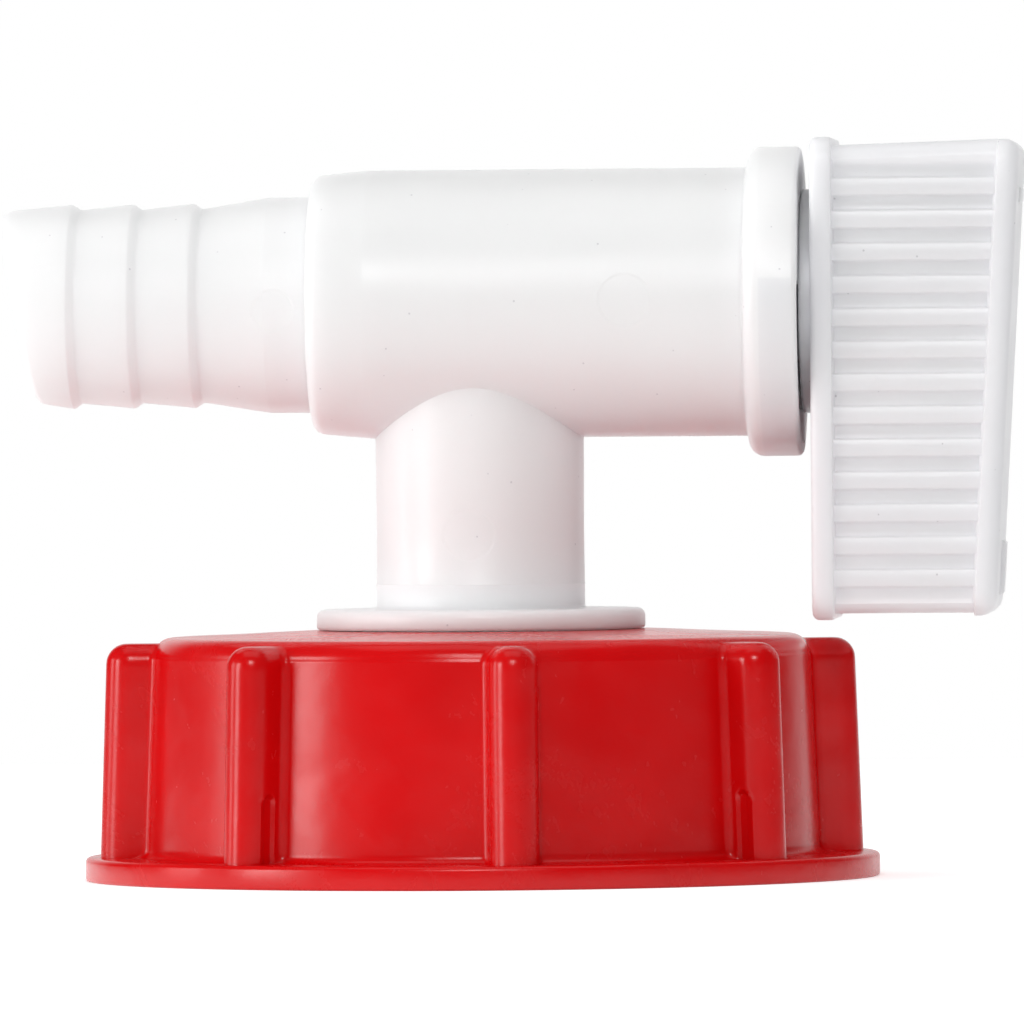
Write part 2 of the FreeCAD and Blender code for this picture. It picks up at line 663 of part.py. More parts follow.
def make_plug():
    """Hollow plug: open to the outlet, with a window that turns to the inlet."""
    body = new_body("plug")
    back = "(-(barrel_back - shoulder_thickness) + plug_end_gap)"
    groove_floor = "(barrel_bore - ring_section - 2 * seal_clearance)"
    outline = [(back, "flow_bore"), (back, PLUG_RADIUS)]
    for middle in ("-ring_outlet", "ring_lever"):
        outline.append((middle + " - groove_width / 2", PLUG_RADIUS))
        outline.append((middle + " - groove_width / 2", groove_floor))
        outline.append((middle + " + groove_width / 2", groove_floor))
        outline.append((middle + " + groove_width / 2", PLUG_RADIUS))
    bead = PLUG_RADIUS + " + snap_rise"
    outline += [
        ("snap_place - snap_width / 2", PLUG_RADIUS),
        ("snap_place - snap_width / 4", bead),
        ("snap_place + snap_width / 2", bead),
        ("snap_place + snap_width / 2", PLUG_RADIUS),
        (PLUG_FACE, PLUG_RADIUS),
        (PLUG_FACE, "0"),
        ("plug_bore_end", "0"),
        ("plug_bore_end", "flow_bore"),
    ]
    revolve(body, "turned_body", "XZ_Plane", outline, "H_Axis")
    cut_window(body)
    add_lug(body)
    add_stem(body)
    bind(body, "Placement.Base.z", "axis_height")
    return body


def cut_window(body):
    sketch = new_sketch(body, "window_outline", "XY_Plane")
    draw_circle(sketch, "port_radius")
    before = body.Tip.Shape.Volume
    window = extrude(body, "window", sketch, "2 * barrel_bore", cut=True)
    must_shrink(before, window, body)


def add_lug(body):
    """Stop lug at the foot of the stem, running in the collar's slot."""
    sketch = new_sketch(body, "lug_outline", "YZ_Plane", PLUG_FACE)
    start, finish = "(270 - lug_angle / 2)", "(270 + lug_angle / 2)"
    sector(sketch, SLOT_RADIUS + " - lug_play", start, finish)
    extrude(body, "stop_lug", sketch, "slot_depth - plug_face_gap - lug_play", reverse=True)


def add_stem(body):
    """Square stem that drives the lever, cored out from its end."""
    sketch = new_sketch(body, "stem_outline", "YZ_Plane", PLUG_FACE)
    draw_outline(sketch, box_points("-stem_half", "stem_half", "-stem_half", "stem_half"))
    stem = extrude(body, "stem", sketch, "stem_reach")
    half = value_of("stem_half")

    def long_corner(edge):
        middle = edge.CenterOfMass
        at_corner = abs(abs(middle.y) - half) < SAME and abs(abs(middle.z) - half) < SAME
        return at_corner and isinstance(edge.Curve, Part.Line)
    round_off(body, "stem_corners", stem, "stem_round", long_corner)
    sketch = new_sketch(body, "core_outline", "YZ_Plane", PLUG_FACE + " + stem_reach")
    draw_circle(sketch, "core_radius")
    before = body.Tip.Shape.Volume
    core = extrude(body, "core", sketch, "core_depth", cut=True)
    must_shrink(before, core, body)


def lever_front(level):
    """Where the leaning front face lies at a level above the axis."""
    height = "(lever_up + lever_down)"
    return "%s - lever_lean * (lever_up - (%s)) / %s" % (LEVER_FRONT, level, height)


def make_handle():
    """Bar lever: a hollow ribbed box open towards the barrel, with a hub."""
    body = new_body("handle")
    add_lever_block(body)
    cut_flutes(body)
    add_front_rim(body)
    add_back_rim(body)
    cut_hollow(body)
    add_hub(body)
    bind(body, "Placement.Base.z", "axis_height")
    return body


def along_x(edge, half_width):
    """One of the four long corners of a block or rim of this half width."""
    if not isinstance(edge.Curve, Part.Line):
        return False
    along = abs(edge.Curve.Direction.x) > abs(edge.Curve.Direction.z)
    return along and abs(abs(edge.CenterOfMass.y) - half_width) < SAME


def add_lever_block(body):
    sketch = new_sketch(body, "block_side", "XZ_Plane")
    inset = " - rim_thickness / 2"
    draw_outline(sketch, [
        (LEVER_BACK + " + rim_thickness / 2", "-lever_down"),
        (lever_front("-lever_down") + inset, "-lever_down"),
        (lever_front("lever_up") + inset, "lever_up"),
        (LEVER_BACK + " + rim_thickness / 2", "lever_up - lever_flare"),
    ])
    block = extrude(body, "block", sketch, "2 * lever_half", both=True)
    half = value_of("lever_half")
    round_off(body, "block_corners", block, "lever_corner",
              lambda edge: along_x(edge, half))


def cut_flutes(body):
    """A flute in both sides at once, repeated down the lever."""
    start = LEVER_BACK + " + rim_thickness"
    sketch = new_sketch(body, "flute_ends", "YZ_Plane", start)
    high = "lever_up - flute_first + flute_width / 2"
    low = "lever_up - flute_first - flute_width / 2"
    floor, out = "lever_half - flute_depth", "lever_half + " + PAST
    draw_outline(sketch, box_points(floor, out, low, high))
    draw_outline(sketch, box_points("-(%s)" % out, "-(%s)" % floor, low, high))
    before = body.Tip.Shape.Volume
    flute = extrude(body, "flute", sketch, "lever_depth", cut=True, reverse=True)
    must_shrink(before, flute, body)
    pattern = body.newObject("PartDesign::LinearPattern", "flutes")
    pattern.Originals = [flute]
    pattern.Direction = (origin_item(body, "Z_Axis"), [""])
    pattern.Reversed = True
    bind(pattern, "Length", "(flute_count - 1) * flute_pitch")
    bind(pattern, "Occurrences", "flute_count")
    body.Tip = pattern
    document.recompute()


def add_front_rim(body):
    """Leaning front plate, a little proud of the block all round."""
    sketch = new_sketch(body, "front_side", "XZ_Plane")
    low, high = "-(lever_down + front_rim_lip)", "(lever_up + front_rim_lip)"
    draw_outline(sketch, [
        (lever_front(low) + " - rim_thickness", low),
        (lever_front(low), low),
        (lever_front(high), high),
        (lever_front(high) + " - rim_thickness", high),
    ])
    plate = extrude(body, "front_rim", sketch, "2 * (lever_half + front_rim_lip)", both=True)
    half = value_of("lever_half + front_rim_lip")
    plate = round_off(body, "front_corners", plate, "lever_corner",
                      lambda edge: along_x(edge, half))
    lean = value_of("lever_lean / (lever_up + lever_down)")
    front_top = value_of(lever_front("lever_up"))
    level = value_of("lever_up")

    def on_front(edge):
        points = [edge.valueAt(edge.FirstParameter), edge.valueAt(edge.LastParameter)]
        return all(abs(p.x - front_top + lean * (level - p.z)) < SAME for p in points)
    round_off(body, "front_edge", plate, "front_rim_round", on_front)


def add_back_rim(body):
    """Flat rim round the open back."""
    sketch = new_sketch(body, "back_outline", "YZ_Plane", LEVER_BACK)
    half = "lever_half + back_rim_lip"
    draw_outline(sketch, box_points("-(%s)" % half, half, "-(lever_down + back_rim_lip)",
                                    "lever_up + back_rim_lip"))
    rim = extrude(body, "back_rim", sketch, "rim_thickness")
    half_now = value_of(half)
    rim = round_off(body, "back_corners", rim, "lever_corner",
                    lambda edge: along_x(edge, half_now))
    back = value_of(LEVER_BACK)

    def rear_outline(edge):
        points = [edge.valueAt(edge.FirstParameter), edge.valueAt(edge.LastParameter)]
        return all(abs(p.x - back) < SAME for p in points)
    round_off(body, "back_edge", rim, "back_rim_round", rear_outline)


def cut_hollow(body):
    """Open box inside the lever, its floor parallel to the leaning front."""
    sketch = new_sketch(body, "hollow_side", "XZ_Plane")
    low, high = "-(lever_down - lever_wall)", "(lever_up - lever_wall)"
    draw_outline(sketch, [
        (LEVER_BACK + " - " + PAST, low),
        (lever_front(low) + " - rim_thickness", low),
        (lever_front(high) + " - rim_thickness", high),
        (LEVER_BACK + " - " + PAST, high + " - lever_flare"),
    ])
    before = body.Tip.Shape.Volume
    hollow = extrude(body, "hollow", sketch, "2 * (lever_half - lever_wall)",
                     cut=True, both=True)
    must_shrink(before, hollow, body)


def add_hub(body):
    """Hub, webs across the hollow and the square socket for the stem.

    The level web ties the hub to both side walls, the cross web stiffens the
    longer arm and the long web joins it to the hub.
    """
    inner_front = lever_front("-" + SOCKET_RADIUS) + " - rim_thickness / 2"
    revolve(body, "hub", "XZ_Plane", [
        (COLLAR_END + " + hub_gap", "0"),
        (COLLAR_END + " + hub_gap", HUB_RADIUS),
        (LEVER_BACK + " + rim_thickness", HUB_RADIUS),
        (LEVER_BACK + " + rim_thickness", SOCKET_RADIUS),
        (inner_front, SOCKET_RADIUS),
        (inner_front, "0"),
    ], "H_Axis")
    web_start = LEVER_BACK + " + web_setback"
    floor = lever_front("-lever_down") + " - rim_thickness / 2"
    sketch = new_sketch(body, "long_web_side", "XZ_Plane")
    draw_outline(sketch, box_points(web_start, floor, "-(lever_down - lever_wall / 2)",
                                    "-stem_half - socket_wall"))
    extrude(body, "long_web", sketch, "web_thickness", both=True)
    for name, level in (("cross_web", "-web_place"), ("level_web", "0")):
        sketch = new_sketch(body, name + "_side", "XZ_Plane")
        draw_outline(sketch, box_points(web_start, floor, level + " - web_thickness / 2",
                                        level + " + web_thickness / 2"))
        extrude(body, name, sketch, "2 * lever_half - lever_wall", both=True)
    socket = "stem_half + socket_clearance"
    sketch = new_sketch(body, "socket_outline", "YZ_Plane", COLLAR_END)
    draw_outline(sketch, box_points("-(%s)" % socket, socket, "-(%s)" % socket, socket))
    before = body.Tip.Shape.Volume
    cut = extrude(body, "socket", sketch, "stem_reach - plug_face_gap + socket_clearance",
                  cut=True, reverse=True)
    must_shrink(before, cut, body)


def make_all():
    pieces = [
        make_screw_cap(),
        make_clamp_nut(),
        make_ring("spigot_seal", SPIGOT_SEAL_RADIUS, "spigot_seal_section", "z",
                  NUT_TOP + " - spigot_seal_section / 2"),
        make_neck_gasket(),
        make_tap_body(),
        make_plug(),
    ]
    ring_radius = "barrel_bore - seal_clearance - ring_section / 2"
    for label, place in (("outlet_ring", "-ring_outlet"), ("lever_ring", "ring_lever")):
        pieces.append(make_ring(label, ring_radius, "ring_section", "x", place))
    pieces.append(make_handle())
    return pieces


def check_document():
    """Stop if any object of the document has failed."""
    for thing in document.Objects:
        if {"Invalid", "Error"} & set(thing.State):
            raise RuntimeError("%s failed: %s" % (thing.Label, thing.State))


def export(pieces):
    os.makedirs("parts", exist_ok=True)
    for piece in pieces:
        if piece.Shape.isNull() or not piece.Shape.isValid():
            raise RuntimeError(piece.Label + " has no valid shape")
    for piece in pieces:
        piece.Shape.exportStep("parts/%s.step" % piece.Label)
        print("%-14s %2d solid  %9.1f mm3" % (
            piece.Label, len(piece.Shape.Solids), piece.Shape.Volume))


pieces = make_all()
document.recompute()
check_document()
export(pieces)
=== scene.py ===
import json
import math
import bmesh
import bpy
import numpy as np
from mathutils import Matrix, Vector


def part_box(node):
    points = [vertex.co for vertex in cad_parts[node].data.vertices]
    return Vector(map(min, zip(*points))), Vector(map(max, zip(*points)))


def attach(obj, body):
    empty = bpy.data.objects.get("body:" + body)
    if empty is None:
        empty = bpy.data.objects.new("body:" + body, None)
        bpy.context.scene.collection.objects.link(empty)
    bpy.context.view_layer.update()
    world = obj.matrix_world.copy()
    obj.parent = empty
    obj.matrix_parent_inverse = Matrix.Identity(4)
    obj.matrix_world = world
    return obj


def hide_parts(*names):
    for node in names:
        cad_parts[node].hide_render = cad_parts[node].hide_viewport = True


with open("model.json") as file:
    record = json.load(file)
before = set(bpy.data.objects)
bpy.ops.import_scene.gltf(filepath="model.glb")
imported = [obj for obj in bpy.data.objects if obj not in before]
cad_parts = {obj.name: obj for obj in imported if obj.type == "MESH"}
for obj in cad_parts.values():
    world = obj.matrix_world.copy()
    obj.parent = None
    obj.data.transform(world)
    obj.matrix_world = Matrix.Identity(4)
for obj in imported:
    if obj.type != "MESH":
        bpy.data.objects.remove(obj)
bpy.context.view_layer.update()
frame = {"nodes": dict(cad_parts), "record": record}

# Drain valve: a natural polyethylene tap on a glossy red screw cap.
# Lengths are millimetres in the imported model's own frame: +Z up the cap,
# +X along the barrel towards the lever, and the camera on the -Y side.

mm = 0.001
mounts = {m["name"]: m for m in frame["record"]["mounts"]}
barrelZ = mounts["hose_tail"]["pos_m"][2] / mm       # height of the barrel's axis
neckRadius = mounts["container_neck"]["dims"]["r_mm"]
neckLength = mounts["container_neck"]["dims"]["length_mm"]
landRadius = mounts["hose_tail"]["dims"]["r_mm"]
print("frame loaded:", len(frame["nodes"]), "nodes")


# Lowest and highest corner of a CAD node, in millimetres.
def boxMm(node):
    low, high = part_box(node)
    return np.array(low) / mm, np.array(high) / mm


# Outline through corners (a, b, radius). A corner with a radius becomes an arc that touches both
# of its sides; the first and last corners stay as they are.
def roundedLine(corners, steps=7):
    points = []
    for i, (a, b, radius) in enumerate(corners):
        here = np.array([a, b], float)
        if radius <= 0 or i in (0, len(corners) - 1):
            points.append(here[None])
            continue
        back = np.array(corners[i - 1][:2], float) - here
        ahead = np.array(corners[i + 1][:2], float) - here
        back, ahead = back / np.linalg.norm(back), ahead / np.linalg.norm(ahead)
        half = math.acos(np.clip(back @ ahead, -1, 1)) / 2
        centre = here + (back + ahead) / np.linalg.norm(back + ahead) * radius / math.sin(half)
        first = here + back * radius / math.tan(half) - centre
        last = here + ahead * radius / math.tan(half) - centre
        turn = math.acos(np.clip(first @ last / radius ** 2, -1, 1))
        t = np.linspace(0, 1, steps)[:, None]
        swung = np.sin((1 - t) * turn) * first + np.sin(t * turn) * last
        points.append(centre + swung / math.sin(turn))
    return np.vstack(points)


meshing = dict(
    weld=2e-7,        # points closer than this many metres become one
    empty=1e-8,       # and edges shorter than this are dropped
    sharp=32,         # degrees between faces from which an edge stays crisp
)


# Mesh from a grid of points (rows, columns, 3) in millimetres. The columns always close on
# themselves. With ring the rows do too, otherwise each end gets a middle point.
def meshFromGrid(name, grid, ring=False, sharp=meshing["sharp"]):
    rows, cols = grid.shape[:2]
    index = np.arange(rows * cols).reshape(rows, cols)
    here, above = (index, np.roll(index, -1, 0)) if ring else (index[:-1], index[1:])
    quads = np.stack([here, np.roll(here, -1, 1), np.roll(above, -1, 1), above], -1).reshape(-1, 4)
    points = grid.reshape(-1, 3)
    faces = quads.tolist()
    if not ring:
        points = np.vstack([points, grid[0].mean(0), grid[-1].mean(0)])
        low, high = len(points) - 2, len(points) - 1
        nextCol = np.roll(np.arange(cols), -1)
        faces += np.stack([np.full(cols, low), nextCol, np.arange(cols)], -1).tolist()
        faces += np.stack([np.full(cols, high), index[-1], index[-1][nextCol]], -1).tolist()
    mesh = bpy.data.meshes.new(name)
    mesh.from_pydata((points * mm).tolist(), [], faces)
    tidyMesh(mesh, sharp)
    piece = bpy.data.objects.new(name, mesh)
    bpy.context.scene.collection.objects.link(piece)
    return piece


# Weld doubles, drop empty faces, turn every face outwards, shade smooth up to an angle.
def tidyMesh(mesh, sharp):
    work = bmesh.new()
    work.from_mesh(mesh)
    bmesh.ops.remove_doubles(work, verts=work.verts, dist=meshing["weld"])
    bmesh.ops.dissolve_degenerate(work, edges=work.edges, dist=meshing["empty"])
    bmesh.ops.recalc_face_normals(work, faces=work.faces)
    work.to_mesh(mesh)
    work.free()
    mesh.shade_smooth()
    mesh.set_sharp_from_angle(angle=math.radians(sharp))


# Surface of revolution: every (along, radius) of the profile goes round the Z axis or round the
# barrel's axis.
def turned(name, profile, axis, segments):
    angle = np.linspace(0, 2 * np.pi, segments, endpoint=False)
    along, radius = np.asarray(profile)[:, 0:1], np.asarray(profile)[:, 1:2]
    across, up = radius * np.cos(angle), radius * np.sin(angle)
    flat = np.broadcast_to(along, across.shape)
    if axis == "z":
        grid = np.stack([across, up, flat], -1)
    else:
        grid = np.stack([flat, across, up + barrelZ], -1)
    return meshFromGrid(name, grid)


# Apply one exact boolean and throw the tool away.
def combine(base, tool, how, sharp=meshing["sharp"]):
    step = base.modifiers.new(how, "BOOLEAN")
    step.operation, step.solver, step.object = how, "EXACT", tool
    graph = bpy.context.evaluated_depsgraph_get()
    made = bpy.data.meshes.new_from_object(base.evaluated_get(graph))
    base.modifiers.clear()
    old, base.data = base.data, made
    made.name = base.name
    bpy.data.meshes.remove(old)
    bpy.data.meshes.remove(tool.data)
    tidyMesh(made, sharp)


# 0 below low and 1 above high; between them three t squared less two t cubed.
def smoothStep(value, low, high):
    t = np.clip((value - low) / (high - low), 0, 1)
    return t * t * (3 - 2 * t)


# Screw cap

cap = dict(
    wallLow=34.0, wallTop=33.1,           # radius of the wall at the flange and at the roof
    height=24.4, edge=2.0,                # rim of the roof and its rounding
    crownRadius=17.15, slopeEnd=30.15,    # raised seat in the middle, and the foot of its slope
    crownRound=1.5, slopeRound=6.0,
    flangeRadius=40.0, flangeHigh=2.4, flangeFillet=0.8,
    flangeTopRound=0.5, flangeLowRound=0.3, mouthRound=0.25,
    holeRadius=13.28, holeRound=0.3, roofUnder=22.1, underRound=0.4,
    chamberStep=0.7,                      # narrower chamber above the thread
    ribs=8, ribTurn=8.7,                  # ribs, and the first one's angle from +X in degrees
    ribHalf=2.42, ribNose=36.15, ribFillet=0.8, ribTop=23.9, ribRound=2.0,
    ribLean=0.036,                        # how far the nose comes in for each millimetre up
    nickWide=1.6, nickTop=9.2, nickDeep=0.4, nickInset=0.3, nickSoft=(-0.2, 0.05),
    nickedFlanks={1: 1, 3: -1, 5: 1, 7: -1},       # rib and the side of it that has the nick
    threadStart=1.9, threadPitch=6.0, threadTurns=1.7, threadHigh=1.35,
    threadCrest=0.8, threadFoot=2.4, threadFade=0.35,
    wallPoints=8, rootPoints=6, flankPoints=13, nosePoints=19,        # mesh columns of each run
    fineRows=(9.6, 26), plainRows=(10.5, 21.5, 7), threadRows=54,     # ends and numbers of rows
    sharp=34,
)


# One rib's cross-section as columns. kind 0 is plain wall, 1 root fillet, 2 flank and 3 nose;
# t runs along each, side is -1 or 1, and base is the place across the rib at its foot.
def capColumns():
    half, fillet = cap["ribHalf"], cap["ribFillet"]
    reach = math.degrees((half + fillet) / cap["wallLow"])
    gap = 180 / cap["ribs"]
    wall = np.linspace(-gap, -reach, cap["wallPoints"])[:-1]
    root = np.linspace(0, 1, cap["rootPoints"])[:-1]
    flank = np.linspace(0, 1, cap["flankPoints"])[:-1]
    nose = np.linspace(-90, 90, cap["nosePoints"])
    left = [
        (0, wall, np.radians(wall) * cap["wallLow"]),
        (1, root, -half - fillet + root * fillet / 2),
        (2, flank, -half - fillet / 2 + flank * fillet / 2),
    ]
    runs = [(kind, t, -1, base) for kind, t, base in left]
    runs.append((3, nose, 0, half * np.sin(np.radians(nose))))
    runs += [(kind, t[::-1], 1, -base[::-1]) for kind, t, base in reversed(left)]
    kinds = np.concatenate([np.full(len(t), kind) for kind, t, side, base in runs])
    sides = np.concatenate([np.full(len(t), side) for kind, t, side, base in runs])
    ts = np.concatenate([t for kind, t, side, base in runs])
    return kinds, ts, sides, np.concatenate([base for kind, t, side, base in runs])


# Drafted wall: a straight slope with a hollow quarter circle at the flange and the rounded
# rim of the roof at the top.
def wallRadius(z):
    share = (z - cap["flangeHigh"]) / (cap["height"] - cap["flangeHigh"])
    line = cap["wallLow"] + (cap["wallTop"] - cap["wallLow"]) * share
    rise = np.clip(z - (cap["height"] - cap["edge"]), 0, cap["edge"])
    rounded = cap["wallTop"] - cap["edge"] + np.sqrt(cap["edge"] ** 2 - rise ** 2)
    foot = cap["flangeFillet"]
    drop = np.clip(cap["flangeHigh"] + foot - z, 0, foot)
    radius = np.where(rise > 0, np.minimum(line, rounded), line)
    return radius + foot - np.sqrt(foot ** 2 - drop ** 2)


# A rib at the heights z: quarter-circle root fillets, straight flanks and a half-circle nose
# whose centre leans in upwards. shrink narrows it for the round top, and nothing stands out
# further than limit. The nick is a flat round-topped cut between flank and nose, on the flange.
def capRibs(z, shrink, limit, kind, t, side, nicked):
    half = cap["ribHalf"] - shrink
    fillet = cap["ribFillet"]
    wall = np.sqrt(wallRadius(z) ** 2 - (half + fillet) ** 2)
    nose = cap["ribNose"] - cap["ribLean"] * (z - cap["flangeHigh"])
    turn = t * np.pi / 2
    rootX = wall + fillet * (1 - np.cos(turn))
    rootY = side * (half + fillet * (1 - np.sin(turn)))
    flankX = wall + fillet + t * (nose - wall - fillet)
    noseX = nose + half * np.cos(np.radians(t))
    noseY = half * np.sin(np.radians(t))
    x = np.select([kind == 1, kind == 2, kind == 3], [rootX, flankX, noseX])
    y = np.select([kind == 1, kind == 2, kind == 3], [rootY, side * half, noseY])
    top = cap["nickTop"] - cap["nickWide"] / 2
    away = np.hypot(x - nose + cap["nickInset"], np.maximum(z - top, 0)) - cap["nickWide"] / 2
    most = half - cap["nickDeep"] * (1 - smoothStep(away, *cap["nickSoft"]))
    y = np.where((y * nicked > most) & (kind > 1), most * nicked, y)
    return np.minimum(x, np.maximum(limit, np.sqrt(wallRadius(z) ** 2 - y ** 2))), y


# Height of the neck thread: a trapezoid ridge on a helix that fades at both ends.
def threadRidge(angle, z):
    ridge = np.zeros(np.broadcast(angle, z).shape)
    foot, crest, fadeOver = cap["threadFoot"], cap["threadCrest"], cap["threadFade"]
    last = 2 * np.pi * cap["threadTurns"]
    for lap in range(math.ceil(cap["threadTurns"])):
        run = np.mod(angle, 2 * np.pi) + 2 * np.pi * lap
        middle = cap["threadStart"] + cap["threadPitch"] * run / (2 * np.pi) + foot / 2
        away = np.abs(z - middle)
        shape = np.clip((foot - away * 2) / (foot - crest), 0, 1)
        fade = smoothStep(run, 0, fadeOver) * (1 - smoothStep(run, last - fadeOver, last))
        ridge = np.maximum(ridge, cap["threadHigh"] * shape * fade)
    return ridge


# Heights of the wall's rows from the roof's rim down to the flange. They follow the roundings
# of the rim, the rib tops and the flange's fillet, and stand close together past the nicks.
def wallHeights():
    high, edge, top, ribRound = cap["height"], cap["edge"], cap["ribTop"], cap["ribRound"]
    foot, apart = cap["flangeHigh"], 0.02
    rim = high - edge + edge * np.sin(np.radians(np.linspace(90, 0, 13)[1:]))
    rounding = top - ribRound + ribRound * np.sin(np.radians(np.linspace(0, 90, 10)))
    hollow = foot + cap["flangeFillet"] * (1 - np.cos(np.radians(np.linspace(0, 90, 7))))
    below = np.concatenate([rounding[:-1], rim[rim < top - apart], np.linspace(*cap["plainRows"]),
                            np.linspace(hollow[-1] + 0.2, *cap["fineRows"]), hollow])
    return np.concatenate([rim[rim > top + apart], np.full(7, top), np.unique(below)[::-1]])


# One closed grid: the rows run from the hole over the roof, down the ribbed wall, round the
# flange and up inside past the thread; the columns go round the cap.
def makeCap():
    kind, t, side, base = capColumns()
    high, under = cap["height"], cap["roofUnder"]
    crown = boxMm("screw_cap")[1][2]
    roof = roundedLine([(cap["holeRadius"], under, 0), (cap["holeRadius"], crown, cap["holeRound"]),
                        (cap["crownRadius"], crown, cap["crownRound"]),
                        (cap["slopeEnd"], high, cap["slopeRound"]),
                        (cap["wallTop"] - cap["edge"], high, 0)])
    ribTop, ribRound = cap["ribTop"], cap["ribRound"]
    wallZ = wallHeights()
    past = np.clip(wallZ - (ribTop - ribRound), 0, ribRound)
    shrink = ribRound - np.sqrt(np.maximum(ribRound ** 2 - past ** 2, 0))
    limit = np.full(len(wallZ), 2 * cap["flangeRadius"])      # no limit but on the rib's flat top
    flat = np.isclose(wallZ, ribTop)
    limit[flat] = np.linspace(wallRadius(ribTop) - 0.5, cap["ribNose"], flat.sum())
    flange, foot = cap["flangeRadius"], cap["flangeHigh"]
    skirt = roundedLine([(wallRadius(foot), foot, 0), (flange, foot, cap["flangeTopRound"]),
                         (flange, 0, cap["flangeLowRound"]), (neckRadius, 0, cap["mouthRound"]),
                         (neckRadius, neckLength, 0)])[1:-1]
    threadZ = np.linspace(0.3, neckLength, cap["threadRows"])
    chamber, underRound = neckRadius - cap["chamberStep"], cap["underRound"]
    inside = np.array([(chamber, neckLength + cap["chamberStep"]), (chamber, under - underRound),
                       (chamber - underRound, under)])
    bore = 0 * threadZ + neckRadius
    radius = np.concatenate([roof[:, 0], wallRadius(wallZ), skirt[:, 0], bore, inside[:, 0]])
    height = np.concatenate([roof[:, 1], wallZ, skirt[:, 1], threadZ, inside[:, 1]])
    radius, height = radius[:, None], height[:, None]
    angle = base / cap["wallLow"]
    sector = 2 * np.pi / cap["ribs"]
    wallRows = slice(len(roof), len(roof) + len(wallZ))
    threadRows = slice(len(roof) + len(wallZ) + len(skirt), len(radius) - len(inside))
    parts = []
    for k in range(cap["ribs"]):
        turn = math.radians(cap["ribTurn"]) + k * sector
        r = np.broadcast_to(radius, (len(radius), len(angle))).copy()
        r[threadRows] -= threadRidge(angle + turn, height[threadRows])
        x, y = r * np.cos(angle), r * np.sin(angle)
        nicked = cap["nickedFlanks"].get(k, 0)
        ribX, ribY = capRibs(wallZ[:, None], shrink[:, None], limit[:, None],
                             kind, t, side, nicked)
        stands = (kind > 0) & (wallZ[:, None] <= ribTop + 0.001)
        x[wallRows] = np.where(stands, ribX, x[wallRows])
        y[wallRows] = np.where(stands, ribY, y[wallRows])
        parts.append(np.stack([x * math.cos(turn) - y * math.sin(turn),
                               x * math.sin(turn) + y * math.cos(turn),
                               np.broadcast_to(height, x.shape)], -1))
    return meshFromGrid("cap_shell", np.concatenate(parts, 1), ring=True, sharp=cap["sharp"])


# Tap body

tap = dict(
    tailReach=46.35, tailSlant=10.3, tailRound=1.0, flowBore=7.75, boreRound=0.4,
    barbRoot=9.75, barbCrest=10.3, barbFirst=28.6, barbPitch=6.15, barbStep=0.8, barbs=3,
    barbRound=0.35, barbFillet=0.5,
    landLength=4.3, landRound=0.8, landFillet=0.25,                   # plain land behind the barbs
    back=16.7, lead=5.8, endRadius=12.95, radius=13.5, bore=11.0, wall=1.9,
    endRound=1.2, leadRound=3.0, shoulderRound=0.3, throatRound=0.2,
    collarStart=27.25, collarEnd=32.65, collarRadius=15.55, collarRound=1.5,
    collarFillet=0.35, collarEndRound=0.55, collarBoreRound=0.25,
    snapPlace=24.5, snapHalf=0.7, snapRadius=11.55,
    slotDeep=3.8, slotRadius=14.2, slotStart=171.6, slotEnd=278.4,    # degrees from +Y
    seatLow=25.1, seatHigh=27.1, seatRadius=16.55, seatLowRound=0.3, seatRound=0.8,
    stubRadius=10.5, stubWaist=10.44, stubFillet=0.4, waistRound=60.0,
    spigotRadius=13.2, spigotFoot=14.1, spigotBore=9.6, spigotInner=11.0, spigotRound=0.3,
    portRadius=6.6, portFlare=0.9,
    spigotPitch=1.814, spigotThread=0.6,                              # pipe thread under the roof
    seamHeight=29.6, seamHalf=0.15, seamHigh=0.05,
    barrelSegments=200, stubSegments=180, portSegments=120,
)


